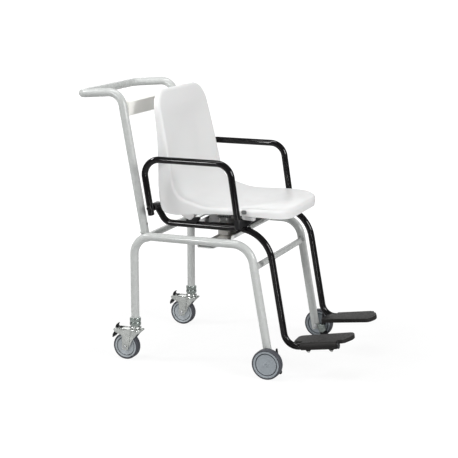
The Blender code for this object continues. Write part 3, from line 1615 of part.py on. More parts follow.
def outline_normal(rows, i, j, columns, last):
    """Outward direction of the outline at a boundary point, as (across, along the curve)."""
    distance, width = rows[i]
    if 0 < j < len(columns) - 1:
        return 0.0, (1.0 if i == last else -1.0)
    side = 1.0 if j else -1.0
    front_r = SHELL_CORNER_FRONT_R - SHELL_RIM_R
    top_r = SHELL_CORNER_TOP_R - SHELL_RIM_R
    from_front = distance - rows[0][0]
    from_top = rows[last][0] - distance
    if from_front < front_r:
        along = -(front_r - from_front) / front_r
    elif from_top < top_r:
        along = (top_r - from_top) / top_r
    else:
        along = 0.0
    if abs(along) == 1:
        along *= SHELL_TIP_SHARE
    return side * math.sqrt(1 - along * along), along


# Display


def display_corners():
    """Corners of the side view, set about the line of the handle's upright."""
    high = HANDLE_TOP_Z - DISPLAY_DROP
    low = high - DISPLAY_HEIGHT
    line = handle_y((low + high) / 2)
    return (
        Vector((0, line - DISPLAY_AHEAD, low)),
        Vector((0, line - DISPLAY_AHEAD, high)),
        Vector((0, line + DISPLAY_TOP_BEHIND, high)),
        Vector((0, line + DISPLAY_LOW_BEHIND, low)),
    )


def display_face():
    """Middle of the rear face, its upward direction and its outward direction."""
    corners = display_corners()
    up = (corners[2] - corners[3]).normalized()
    out = Vector((0, up.z, -up.y))
    middle = (corners[2] + corners[3]) / 2
    return middle, up, out


def display_place(x, up_share, depth):
    middle, up, out = display_face()
    return Vector((x, 0, 0)) + middle + up * up_share + out * depth


def handle_seat(side):
    """The upright of the push handle with its fit, as the shape of the seat at an end of the display."""
    path = rounded(handle_half(side), (0, HANDLE_TOP_R, 0))
    return rod_mesh(path, HANDLE_D + 4 * SEAT_GAP)


def display_housing(paints):
    """Tray open to the rear, hollowed at both ends to sit against the uprights of the handle."""
    front, top_front, top_rear, low_rear = display_corners()
    outline = [(p.y, p.z) for p in (front, top_front, top_rear, low_rear)]
    mesh = prism_mesh(outline, -DISPLAY_HALF_LENGTH, DISPLAY_HALF_LENGTH, along_x)
    housing = finish("display_housing", mesh, paints["housing"])
    end_wall = HANDLE_D + DISPLAY_WALL
    cavity_outline = (
        (front.y + DISPLAY_WALL, front.z + DISPLAY_WALL),
        (front.y + DISPLAY_WALL, top_front.z - DISPLAY_WALL),
        (low_rear.y + FRAME_D, top_front.z - DISPLAY_WALL),
        (low_rear.y + FRAME_D, front.z + DISPLAY_WALL),
    )
    inner = DISPLAY_HALF_LENGTH - end_wall
    cavity = prism_mesh(cavity_outline, -inner, inner, along_x)
    combine(housing, cutter("tray_space", cavity), "DIFFERENCE")
    for label, side in SIDES:
        combine(housing, cutter("upright_seat_" + label, handle_seat(side)), "DIFFERENCE")
    return housing


def cover_half_height():
    corners = display_corners()
    return (corners[2] - corners[3]).length / 2


def face_rectangle(x, half_width, half_height, low, high):
    outline = (
        (x - half_width, -half_height),
        (x + half_width, -half_height),
        (x + half_width, half_height),
        (x - half_width, half_height),
    )
    return prism_mesh(outline, low, high, display_place)


def key_x(index):
    return KEY_FIRST_X - KEY_PITCH * index


def face_disc(x, radius, low, high, count):
    start = display_place(x, 0, low)
    axis = display_place(x, 0, high) - start
    return round_mesh(radius, axis.length, start, axis, count)


def display_cover(paints):
    """Face plate with the window opening and the key holes."""
    half_length = HANDLE_X - HANDLE_D / 2 - SEAT_GAP * 2
    mesh = face_rectangle(0, half_length, cover_half_height() - SEAT_GAP, SEAT_GAP, SEAT_GAP + COVER_T)
    cover = finish("display_cover", mesh, paints["housing"])
    opening = face_rectangle(WINDOW_X, WINDOW_WIDTH / 2, WINDOW_HEIGHT / 2, -COVER_T, COVER_T * 2)
    combine(cover, cutter("window_opening", opening), "DIFFERENCE")
    for index in range(KEY_COUNT):
        hole = face_disc(key_x(index), KEY_D / 2 + SEAT_GAP, -COVER_T, COVER_T * 2, SEAT_SIDES)
        combine(cover, cutter(f"key_hole_{index}", hole), "DIFFERENCE")
    return cover


def display_window(paints):
    mesh = face_rectangle(
        WINDOW_X,
        WINDOW_WIDTH / 2 - SEAT_GAP,
        WINDOW_HEIGHT / 2 - SEAT_GAP,
        SEAT_GAP,
        COVER_T - SEAT_GAP,
    )
    return finish("display_window", mesh, paints["window"])


def display_module(paints):
    """Circuit board with the display cell on it, in the tray behind the window."""
    half_length = DISPLAY_HALF_LENGTH - HANDLE_D - DISPLAY_WALL - MODULE_MARGIN
    half_height = cover_half_height() - DISPLAY_WALL - MODULE_MARGIN
    low = -KEY_TRAVEL_ROOM - KEY_FLANGE - MODULE_T
    mesh = face_rectangle(0, half_length, half_height, low, -KEY_TRAVEL_ROOM - KEY_FLANGE * 2)
    board = finish("display_module", mesh, paints["board"])
    cell = face_rectangle(
        WINDOW_X, WINDOW_WIDTH / 2, WINDOW_HEIGHT / 2 - SEAT_GAP, low + COVER_T, -SEAT_GAP
    )
    return combine(board, cutter("display_cell", cell), "UNION")


def display_key(index, paints):
    """Key cap with a flange below the cover that keeps it in."""
    x = key_x(index)
    start = display_place(x, 0, 0)
    out = display_face()[2]
    radius = KEY_D / 2
    profile = (
        (0, -KEY_FLANGE),
        (radius + KEY_FLANGE, -KEY_FLANGE),
        (radius + KEY_FLANGE, 0),
        (radius, 0),
        (radius, COVER_T + KEY_PROUD - KEY_FLANGE / 2),
        (radius - KEY_FLANGE / 2, COVER_T + KEY_PROUD),
        (0, COVER_T + KEY_PROUD),
    )
    mesh = turned_mesh(profile, start, out, SEAT_SIDES)
    return finish(f"display_key_{index + 1}", mesh, paints["hub"], start)


def build():
    clear_scene()
    paints = materials()
    front_cross_tube(paints)
    rear_cross_tube(paints)
    push_handle(paints)
    load_cell_trough(paints)
    load_cell(paints)
    load_cell_pad(paints)
    load_pedestal(paints)
    load_bolts(paints)
    seat_cross_plate(paints)
    rear_strap(paints)
    shell = seat_shell(paints)
    for label, side in SIDES:
        side_frame(label, side, paints)
        seat_tube(label, side, paints)
        armrest_pivot(label, side, paints)
        armrest_peg(label, side, paints)
        tube_plug(label, side, paints)
        seat_lug("seat_lug_rear_" + label, side, LUG_REAR_Y, shell, paints["shell"])
        seat_lug("seat_lug_front_" + label, side, LUG_FRONT_Y, shell, paints["shell"])
        armrest(label, side, paints)
        armrest_foot(label, side, paints)
        footplate(label, side, paints)
        front_wheel(label, side, paints)
        front_axle(label, side, paints)
        front_brake_mount(label, side, paints)
        front_brake_lever(label, side, paints)
        castor_socket(label, side, paints)
        castor_fork(label, side, paints)
        castor_axle(label, side, paints)
        castor_brake(label, side, paints)
        castor_wheel(label, side, paints)
    display_housing(paints)
    display_cover(paints)
    display_window(paints)
    display_module(paints)
    for index in range(KEY_COUNT):
        display_key(index, paints)


build()
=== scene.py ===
# %% [markdown]
# # A digital chair scale, dressed from its measured parts
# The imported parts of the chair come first, in metres and already in place. The cells below
# give each one its real finish, and rebuild the rounded ones with far more faces than a
# collision model needs.

# %% Load the measured parts
from math import atan, copysign, cos, degrees, pi, radians, sin, sqrt, tan, tau

import bmesh
import bpy
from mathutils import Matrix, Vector


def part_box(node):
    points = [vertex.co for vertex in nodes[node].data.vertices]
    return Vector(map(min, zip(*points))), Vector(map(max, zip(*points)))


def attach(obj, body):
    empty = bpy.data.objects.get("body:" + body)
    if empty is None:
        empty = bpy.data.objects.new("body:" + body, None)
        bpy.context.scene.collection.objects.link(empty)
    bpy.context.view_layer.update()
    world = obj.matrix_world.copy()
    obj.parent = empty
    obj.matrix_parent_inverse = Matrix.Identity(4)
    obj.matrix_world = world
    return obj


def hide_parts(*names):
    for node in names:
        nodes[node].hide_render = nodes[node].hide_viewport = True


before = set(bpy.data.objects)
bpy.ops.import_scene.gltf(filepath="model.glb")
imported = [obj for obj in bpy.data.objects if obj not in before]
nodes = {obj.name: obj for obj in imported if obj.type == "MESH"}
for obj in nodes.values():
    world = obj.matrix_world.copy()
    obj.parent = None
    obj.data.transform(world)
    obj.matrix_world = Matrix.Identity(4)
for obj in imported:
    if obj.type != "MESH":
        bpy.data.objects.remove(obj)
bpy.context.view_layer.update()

# %% [markdown]
# ## How the chair is named
# X runs across the chair, Y from front to back and Z up. Pieces that come in pairs carry
# the words left and right, and a side is +1 or -1 along X.

# %% Sides
SIDES = (("left", 1.0), ("right", -1.0))


def on_side(side, x, y, z):
    """A place given for the left half, on the side asked for."""
    return Vector((side * x, y, z))


# %% [markdown]
# ## Painting with nodes
# Real coatings are never one flat colour. Each finish here starts from one colour and gets
# three noises: one shifts the colour, one the roughness, and one is a bump as fine as the
# grain of the coating. They read Object coordinates, so the grain has the same size on a
# small bolt and on a long tube. Each finish is kept by its name, with its record's slot.

# %% Node helpers
def set_sockets(node, **values):
    """Sets sockets by name. An underscore stands for a space."""
    for socket, value in values.items():
        node.inputs[socket.replace("_", " ")].default_value = value


def wire(source, target):
    target.id_data.links.new(source, target)


def add_node(tree, kind, **values):
    node = tree.nodes.new(kind)
    set_sockets(node, **values)
    return node


def noise(tree, scale, detail=4.0, stretch=(1, 1, 1)):
    """Noise of so many waves per metre, in Object coordinates."""
    place = tree.nodes.new("ShaderNodeTexCoord")
    fit = add_node(tree, "ShaderNodeMapping", Scale=stretch)
    grain = add_node(tree, "ShaderNodeTexNoise", Scale=scale, Detail=detail)
    wire(place.outputs["Object"], fit.inputs["Vector"])
    wire(fit.outputs["Vector"], grain.inputs["Vector"])
    return grain.outputs["Fac"]


def spread(tree, value, low, high, start=0.35, end=0.65):
    """Stretches a value to run from low to high."""
    ramp = add_node(tree, "ShaderNodeMapRange", From_Min=start, From_Max=end, To_Min=low, To_Max=high)
    wire(value, ramp.inputs["Value"])
    return ramp.outputs["Result"]


def tint(tree, factor, first, second):
    """Mixes two colours by a factor."""
    mix = tree.nodes.new("ShaderNodeMix")
    mix.data_type = "RGBA"
    colours = [socket for socket in mix.inputs if socket.type == "RGBA"]
    for socket, colour in zip(colours, (first, second)):
        socket.default_value = (*colour, 1)
    wire(factor, mix.inputs[0])
    return next(socket for socket in mix.outputs if socket.type == "RGBA")


# %% Finish helpers
GLOSS_SHIFT = 0.07
LEAST_ROUGHNESS = 0.02
finishes = {}
slots = {}


def show(tree, factor, lit, seen, output):
    """Mixes two shaders by a factor, into the tree's output."""
    mix = tree.nodes.new("ShaderNodeMixShader")
    wire(factor, mix.inputs[0])
    wire(lit.outputs[0], mix.inputs[1])
    wire(seen.outputs[0], mix.inputs[2])
    wire(mix.outputs[0], tree.nodes[output].inputs["Surface"])


def shader_of(finish):
    return finish.node_tree.nodes["Principled BSDF"]


def new_finish(name, colour, roughness, metallic=0.0):
    finish = bpy.data.materials.new(name)
    finish.use_nodes = True
    finish.diffuse_color = (*colour, 1)
    set_sockets(shader_of(finish), Base_Color=(*colour, 1), Roughness=roughness, Metallic=metallic)
    return finish


def bump(finish, height, strength, distance):
    """Adds a bump on top of any that the finish already has."""
    tree = finish.node_tree
    normal = shader_of(finish).inputs["Normal"]
    node = add_node(tree, "ShaderNodeBump", Strength=strength, Distance=distance)
    wire(height, node.inputs["Height"])
    if normal.is_linked:
        wire(normal.links[0].from_socket, node.inputs["Normal"])
    wire(node.outputs["Normal"], normal)


def shade(colour, by):
    return tuple(min(c * by, 1.0) for c in colour)


def grained(name, slot, colour, roughness, vary, patch, grain, depth, strength, metallic=0.0):
    """Finish with cloudy colour, uneven gloss and a fine grain."""
    finish = new_finish(name, colour, roughness, metallic)
    tree = finish.node_tree
    shader = shader_of(finish)
    clouds = spread(tree, noise(tree, patch, 5.0), 0.0, 1.0)
    mixed = tint(tree, clouds, shade(colour, 1 - vary), shade(colour, 1 + vary))
    wire(mixed, shader.inputs["Base Color"])
    least = max(roughness - GLOSS_SHIFT, LEAST_ROUGHNESS)
    gloss = spread(tree, noise(tree, patch * 6, 4.0), least, roughness + GLOSS_SHIFT)
    wire(gloss, shader.inputs["Roughness"])
    bump(finish, noise(tree, grain, 3.0), strength, depth)
    finishes[name] = finish
    slots[name] = slot
    return finish


# %% [markdown]
# ## Powder coat, grey and black
# Powder coat melts into a skin with a faint orange peel, some 2 mm from crest to crest. The
# grey is satin, and a thin clear coat gives the sharp highlight over the softer one. The
# black is glossy by itself, and a weaker specular keeps it deep.

# %% Powder coats
def powder_coat(name, slot, colour, roughness, coat, peel=0.25):
    finish = grained(name, slot, colour, roughness, 0.03, 7.0, 420, 0.00009, peel)
    set_sockets(shader_of(finish), Coat_Weight=coat, Coat_Roughness=0.08)
    return finish


powder_coat("grey_powder_coat", "grey_paint", (0.515, 0.53, 0.52), 0.26, 0.35, 0.14)
black_coat = powder_coat("black_powder_coat", "black_paint", (0.004, 0.0035, 0.004), 0.1, 0.0, 0.05)
set_sockets(shader_of(black_coat), Specular_IOR_Level=0.32)

# %% [markdown]
# ## Plated and bare metal
# Zinc plating is silver with faint clouds, and takes the finest scratches along the way
# the part was drawn. Bare aluminium is greyer and shows the lines of the mill.

# %% Metals
def bright_metal(name, slot, colour, roughness, patch, lines):
    finish = grained(name, slot, colour, roughness, 0.1, patch, 1500, 0.00002, 0.2, 1.0)
    bump(finish, noise(finish.node_tree, lines, 2.0, (1.0, 1.0, 0.04)), 0.15, 0.00002)


bright_metal("zinc_plate", "zinc", (0.6, 0.62, 0.6), 0.25, 60, 700)
bright_metal("chrome_plate", "zinc", (0.62, 0.64, 0.62), 0.22, 90, 1200)
bright_metal("bright_steel", "steel", (0.56, 0.57, 0.58), 0.3, 40, 900)
bright_metal("milled_aluminium", "aluminium", (0.66, 0.67, 0.68), 0.36, 25, 1600)

# %% [markdown]
# ## Moulded plastics, rubber and the load cell
# The seat is a big matt-satin moulding with a very fine spark-eroded grain. The wheels have a
# smooth grey disc, lighter on the castors, and a dull dark tyre. The foot boards have a
# dusty grain, and the display's window is a smoked pane. A row gives name, slot, colour and
# roughness, then how far the colour varies, patches and grains per metre, and the depth and
# strength of the grain.

# %% Plastics
PLASTICS = (
    ("moulded_seat_plastic", "seat_shell", (0.745, 0.747, 0.745), 0.42, 0.012, 4.0, 1100, 0.00005, 0.22),
    ("wheel_rubber", "tread", (0.052, 0.055, 0.066), 0.62, 0.12, 55, 1300, 0.00008, 0.4),
    ("wheel_plastic", "hub", (0.31, 0.342, 0.37), 0.34, 0.04, 45, 1400, 0.00003, 0.25),
    ("castor_plastic", "hub", (0.42, 0.455, 0.48), 0.34, 0.04, 45, 1400, 0.00003, 0.25),
    # The groove's dark ring is painted shade: a dark colour for the shade in the wheel's groove.
    ("wheel_groove", "tread", (0.045, 0.05, 0.062), 0.55, 0.08, 55, 1300, 0.00005, 0.3),
    ("black_plastic", "black_plastic", (0.009, 0.009, 0.01), 0.38, 0.15, 70, 1300, 0.00005, 0.3),
    ("footplate_plastic", "footplate", (0.013, 0.012, 0.0115), 0.55, 0.16, 30, 1600, 0.00012, 0.55),
    # The display's cream is its own colour, made lighter still as painted light for the shade behind the
    # seat back.
    ("display_plastic", "housing", (0.92, 0.91, 0.87), 0.45, 0.02, 12, 1300, 0.00005, 0.3),
    ("circuit_board", "board", (0.03, 0.13, 0.06), 0.45, 0.1, 120, 1200, 0.00004, 0.3),
    ("smoked_window", "window", (0.02, 0.024, 0.026), 0.12, 0.1, 30, 500, 0.00001, 0.1),
    # The load cell's pale beige is its own colour, made lighter still as painted light for the shade under
    # the seat.
    ("cell_silver", "aluminium", (0.94, 0.915, 0.87), 0.4, 0.03, 40, 1300, 0.00003, 0.2),
)
for row in PLASTICS:
    grained(*row)
seat_shader = shader_of(finishes["moulded_seat_plastic"])
set_sockets(seat_shader, Specular_IOR_Level=0.3, Subsurface_Weight=0.03, Subsurface_Scale=0.004)
for name in ("black_plastic", "footplate_plastic"):
    set_sockets(shader_of(finishes[name]), Specular_IOR_Level=0.25)
set_sockets(shader_of(finishes["smoked_window"]), Coat_Weight=0.5)
print(len(finishes), "finishes made")

# %% [markdown]
# ## Dress the measured parts
# Each measured part comes in a plain paint that is named after its slot. It gets the first
# finish that was made for that slot, but the load cell has its own: a pale beige, made lighter
# still as painted light, since it sits in the shade under the seat.

# %% Dress
first_finish = {}
for name, slot in slots.items():
    first_finish.setdefault(slot, finishes[name])
for name, part in nodes.items():
    paints = part.data.materials
    slot = paints[0].name.split(".")[0]
    paints.clear()
    # The load cell's own finish is pale beige, partly painted light.
    paints.append(finishes["cell_silver"] if name == "load_cell" else first_finish[slot])
print("measured parts dressed in", len(first_finish), "slots")

# %% [markdown]
# ## Working on meshes
# A piece is modelled in edit mode at its own place. At the end that place is in its mesh, and
# the object sits at the origin, unturned and unscaled.

# %% Mesh helpers
SMOOTH_ANGLE = 35.0
NEAREST = 0.000002
NEAR = 0.000005


def fresh():
    """Object mode, with nothing selected."""
    if bpy.context.object and bpy.context.object.mode != "OBJECT":
        bpy.ops.object.mode_set(mode="OBJECT")
    bpy.ops.object.select_all(action="DESELECT")


def new_object(name, data):
    piece = bpy.data.objects.new(name, data)
    bpy.context.scene.collection.objects.link(piece)
    return piece


def choose(piece):
    """This piece alone is selected and active."""
    fresh()
    piece.select_set(True)
    bpy.context.view_layer.objects.active = piece


def settle(name):
    """Back to object mode, with the piece's place in its mesh."""
    bpy.ops.object.mode_set(mode="OBJECT")
    piece = bpy.context.object
    bpy.ops.object.transform_apply(location=True, rotation=True, scale=True)
    piece.name = piece.data.name = name
    return piece


def pick_all():
    bpy.ops.mesh.select_all(action="SELECT")


def into_edit():
    bpy.ops.object.transform_apply(location=True, rotation=True, scale=True)
    bpy.ops.object.mode_set(mode="EDIT")
    pick_all()


def pull(step):
    bpy.ops.mesh.extrude_region_move(TRANSFORM_OT_translate={"value": tuple(step)})


def merge_near(distance):
    pick_all()
    bpy.ops.mesh.remove_doubles(threshold=distance)


def tidy_faces():
    """Merges doubles and turns all faces outwards."""
    merge_near(NEAREST)
    bpy.ops.mesh.normals_make_consistent(inside=False)


def add_modifier(piece, kind, **values):
    bpy.context.view_layer.objects.active = piece
    modifier = piece.modifiers.new(kind.lower(), kind)
    for key, value in values.items():
        setattr(modifier, key, value)
    bpy.ops.object.modifier_apply(modifier=modifier.name)


def round_edges(piece, width, segments, angle):
    """Rounds the edges that are sharper than an angle."""
    limit = radians(angle)
    add_modifier(piece, "BEVEL", width=width, segments=segments, limit_method="ANGLE", angle_limit=limit)


def smooth(piece, angle=SMOOTH_ANGLE):
    choose(piece)
    bpy.ops.object.shade_smooth_by_angle(angle=radians(angle))


def dress(piece, finish, *replaced, body="frame"):
    """Finish, slot and body, and the measured parts that the piece stands for."""
    piece.data.materials.clear()
    piece.data.materials.append(finishes[finish])
    if replaced:
        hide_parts(*replaced)
    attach(piece, body)


# %% [markdown]
# ## Bending a tube
# A tube bender turns a straight tube round a die, bend by bend. The helper does the same to
# a circle: it is extruded along each straight, and spun about the centre of each bend.
# Solidify then gives the wall, inwards, so the outside keeps its size.

# %% A tube bender
TUBE_WALL = 0.002


def bent_tube(name, corners, radii, diameter, wall=TUBE_WALL, sides=40, step=5.0):
    """A tube through the corners, bent to the radii, with open ends and a wall."""
    corners = [Vector(c) for c in corners]
    travel = (corners[1] - corners[0]).normalized()
    fresh()
    bpy.ops.mesh.primitive_circle_add(
        vertices=sides,
        radius=diameter / 2,
        location=corners[0],
        rotation=travel.to_track_quat("Z", "X").to_euler(),
    )
    into_edit()
    here = corners[0]
    for corner, after, radius in zip(corners[1:-1], corners[2:], radii):
        away = (after - corner).normalized()
        turn = travel.angle(away)
        back = radius * tan(turn / 2)
        start = corner - travel * back
        axis = travel.cross(away).normalized()
        pull(start - here)
        bpy.ops.mesh.spin(
            steps=max(2, round(degrees(turn) / step)),
            angle=-turn,
            center=tuple(start + axis.cross(travel) * radius),
            axis=tuple(axis),
        )
        here = corner + away * back
        travel = away
    pull(corners[-1] - here)
    tidy_faces()
    piece = settle(name)
    add_modifier(piece, "SOLIDIFY", thickness=wall, offset=-1.0)
    smooth(piece)
    return piece


# %% [markdown]
# ## The grey frame
# Two side frames carry everything, each one tube from the rear castor over the rail to the
# front wheel. The front leg leans forward.

# %% Side frames
FRAME_D = 0.028
FRAME_WALL = 0.0022
FRAME_BENDS = (0.066, 0.071)
FRAME_X = 0.2354
RAIL_Z = 0.4345
REAR_Y = 0.2594
REAR_FOOT_Z = 0.122
KNEE_Y = -0.1591
FRONT_FOOT_Z = 0.038
FRONT_LEAN = 0.181
for label, side in SIDES:
    foot_y = KNEE_Y - FRONT_LEAN * (RAIL_Z - FRONT_FOOT_Z)
    bends = ((REAR_Y, REAR_FOOT_Z), (REAR_Y, RAIL_Z), (KNEE_Y, RAIL_Z), (foot_y, FRONT_FOOT_Z))
    corners = [on_side(side, FRAME_X, y, z) for y, z in bends]
    piece = bent_tube(f"side_frame_tube_{label}", corners, FRAME_BENDS, FRAME_D, FRAME_WALL)
    dress(piece, "grey_powder_coat", f"side_frame_{label}")
    low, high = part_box(f"side_frame_{label}")
    top = max(v.co.z for v in piece.data.vertices)
    print(piece.name, "top", round(top, 4), "measured", round(high.z, 4))

# %% [markdown]
# ## The push handle
# One tube makes both uprights and the grip. It leans back, bends rearwards at the top, and
# the grip turns across. The uprights stand inside the rails, welded to them.

# %% Push handle
HANDLE_GAP = 0.0003
HANDLE_X = FRAME_X - FRAME_D - HANDLE_GAP
HANDLE_RAIL_Y = 0.231
HANDLE_FOOT_Z = 0.4105
HANDLE_TOP = (0.3163, 0.912)
HANDLE_GRIP = (0.4704, 0.8998)
HANDLE_BENDS = (0.05, 0.034, 0.034, 0.05)


def upright_y(z):
    lean = (HANDLE_TOP[0] - HANDLE_RAIL_Y) / (HANDLE_TOP[1] - RAIL_Z)
    return HANDLE_RAIL_Y + lean * (z - RAIL_Z)


half = ((upright_y(HANDLE_FOOT_Z), HANDLE_FOOT_Z), HANDLE_TOP, HANDLE_GRIP)
corners = [(HANDLE_X, *p) for p in half] + [(-HANDLE_X, *p) for p in reversed(half)]
handle = bent_tube("push_handle_tube", corners, HANDLE_BENDS, FRAME_D)
dress(handle, "grey_powder_coat", "push_handle")

# %% [markdown]
# ## Cross tubes
# Front and rear cross tubes hold the sides apart. A real one is mitred to fit the leg. Here
# it is a straight tube whose ends stop inside what it is welded to.

# %% Cross tubes
BAR_SHORT = 0.01
FRONT_BAR = (-0.1746, 0.361)
FRONT_BAR_D = 0.021
REAR_BAR_Z = 0.4245
REAR_BAR = (upright_y(REAR_BAR_Z), REAR_BAR_Z)
REAR_BAR_D = 0.0225
BARS = (("front", FRAME_X, FRONT_BAR, FRONT_BAR_D), ("rear", HANDLE_X, REAR_BAR, REAR_BAR_D))
for where, x, line, thick in BARS:
    reach = x - BAR_SHORT
    bar = bent_tube(where + "_bar_tube", ((-reach, *line), (reach, *line)), (), thick)
    dress(bar, "grey_powder_coat", where + "_cross_tube")

# %% [markdown]
# ## The black seat tubes
# Each seat tube starts under the armrest hinge, runs forward under the seat, bends down over
# a wide knee, and turns forward above the ground to carry the foot board.

# %% Seat tubes
BLACK_D = 0.022
SEAT_X = 0.1985
SEAT_Z = 0.48
SEAT_BENDS = (0.04, 0.118, 0.047)
SEAT_TUBE_TOP = (0.188, 0.5295)
SEAT_TUBE_REAR_Y = 0.1574
SHIN = (-0.2636, 0.15)
SHIN_LEAN = 0.181
BOARD_START = (-0.3156, 0.1012)
BOARD_SLOPE = 0.1498
SEAT_TUBE_END_Y = -0.4511


def shin_y(z):
    return SHIN[0] - SHIN_LEAN * (SHIN[1] - z)


def board_axis(y):
    return y, BOARD_START[1] + BOARD_SLOPE * (BOARD_START[0] - y)


rise = BOARD_SLOPE * (BOARD_START[0] - SHIN[0] + SHIN_LEAN * SHIN[1])
ankle_z = (BOARD_START[1] + rise) / (1 + BOARD_SLOPE * SHIN_LEAN)
for label, side in SIDES:
    bends = (
        SEAT_TUBE_TOP,
        (SEAT_TUBE_REAR_Y, SEAT_Z),
        (shin_y(SEAT_Z), SEAT_Z),
        (shin_y(ankle_z), ankle_z),
        board_axis(SEAT_TUBE_END_Y),
    )
    corners = [on_side(side, SEAT_X, y, z) for y, z in bends]
    piece = bent_tube(f"seat_tube_bent_{label}", corners, SEAT_BENDS, BLACK_D)
    dress(piece, "black_powder_coat", f"seat_tube_{label}")

# %% [markdown]
# ## Armrests
# An armrest is a bridge of black tube. It hangs on the hinge behind and stands with its
# capped foot on a peg in front.

# %% Armrests
ARM_X = 0.25
ARM_TOP_Z = 0.699
ARM_BENDS = (0.052, 0.052)
ARM_LINE = ((-0.124, 0.4935), (-0.0926, ARM_TOP_Z), (0.2188, ARM_TOP_Z), (0.1877, 0.513))


def arm_corners(side):
    return [on_side(side, ARM_X, y, z) for y, z in ARM_LINE]


for label, side in SIDES:
    piece = bent_tube(f"armrest_bent_{label}", arm_corners(side), ARM_BENDS, BLACK_D)
    dress(piece, "black_powder_coat", f"armrest_{label}", body=f"armrest_{label}_body")

# %% [markdown]
# ## The seat shell
# The shell is one moulding. Its middle line rises from the front lip, lies nearly flat and
# turns up through the small of the back. Every row across is dished, and all round the
# sheet rolls over into a rim that stands down behind it.

# %% Curves of the shell
CROWN = (
    (-0.2566, 0.541), (-0.2046, 0.548), (-0.1046, 0.547), (-0.0046, 0.545), (0.056, 0.557),
    (0.098, 0.572), (0.122, 0.604), (0.1372, 0.672), (0.151, 0.742), (0.1662, 0.811), (0.1778, 0.863),
    (0.1915, 0.914),
)
RIM_EDGE = (
    (-0.2526, 0.511), (-0.2026, 0.52), (-0.1046, 0.5268), (-0.0046, 0.5235), (0.0754, 0.5152),
    (0.1234, 0.5125), (0.1634, 0.5265), (0.178, 0.596), (0.181, 0.69), (0.1875, 0.775), (0.1978, 0.848),
    (0.211, 0.911),
)


def through(points, steps=24):
    """Smooth curve through the given points."""
    fine = []
    last = len(points) - 1
    for i in range(last):
        a, b, c, d = (Vector(points[min(max(i + k, 0), last)]) for k in (-1, 0, 1, 2))
        for j in range(steps):
            t = j / steps
            square = (2 * a - 5 * b + 4 * c - d) * t**2
            cube = (3 * b - a - 3 * c + d) * t**3
            fine.append(0.5 * (2 * b + (c - a) * t + square + cube))
    return fine + [Vector(points[last])]


def along(curve, share):
    place = min(max(share, 0.0), 1.0) * (len(curve) - 1)
    i = min(int(place), len(curve) - 2)
    return curve[i].lerp(curve[i + 1], place - i)


crown = through(CROWN)
rim_edge = through(RIM_EDGE)
crown_length = sum((b - a).length for a, b in zip(crown, crown[1:]))
print("length of the shell's middle line", round(crown_length, 4))

# %% The shell's rows
ROLL = 0.012
FRONT_CORNER = 0.13
TOP_CORNER = 0.078
SEAT_HALF = 0.217
NARROWER = 0.021
NARROW_FROM = 0.45
CORNER_ROWS = 9
SLOPE_SHARE = 0.01
STEEPEST = 0.94
front_radius = FRONT_CORNER - ROLL
top_radius = TOP_CORNER - ROLL


def ease(t):
    return t * t * (3 - 2 * t)


def half_width(share):
    return SEAT_HALF - NARROWER * ease(min(max((share - NARROW_FROM) / (1 - NARROW_FROM), 0.0), 1.0))


def corner_inset(distance, radius):
    if distance >= radius:
        return 0.0
    return radius - sqrt(max(radius**2 - (radius - distance) ** 2, 0.0))


def shell_rows(count=84):
    """Each row's distance along the middle line, and its half width."""
    start, end = ROLL, crown_length - ROLL
    low, high = start + front_radius, end - top_radius
    turn = [1 - cos(pi / 2 * k / CORNER_ROWS) for k in range(CORNER_ROWS + 1)]
    places = [start + front_radius * share for share in turn]
    places += [low + (high - low) * k / count for k in range(1, count)]
    places += [end - top_radius * share for share in reversed(turn)]
    rows = []
    for place in places:
        inset = max(corner_inset(place - start, front_radius), corner_inset(end - place, top_radius))
        rows.append((place, half_width(place / crown_length) - ROLL - inset))
    return rows


def shell_frame(distance):
    """Place, way along, way down to the rim's edge, and way up, in side view."""
    share = distance / crown_length
    here = along(crown, share)
    travel = (along(crown, share + SLOPE_SHARE) - along(crown, share - SLOPE_SHARE)).normalized()
    return here, travel, along(rim_edge, share) - here, Vector((-travel.y, travel.x))


def outward(rows, i, j, last_column):
    """Which way the outline faces, as (across, along)."""
    last = len(rows) - 1
    if 0 < j < last_column:
        return 0.0, (1.0 if i == last else -1.0)
    from_front = rows[i][0] - rows[0][0]
    from_top = rows[last][0] - rows[i][0]
    lean = 0.0
    if from_front < front_radius:
        lean = -(1 - from_front / front_radius)
    elif from_top < top_radius:
        lean = 1 - from_top / top_radius
    if abs(lean) > 0.999:
        lean = copysign(STEEPEST, lean)
    return (1.0 if j else -1.0) * sqrt(1 - lean * lean), lean


# %% Build the shell
DISH = 0.016
DISH_RUN = 2.4 * TOP_CORNER
SHELL_WALL = 0.0045


def in_space(x, flat):
    return Vector((x, flat.x, flat.y))


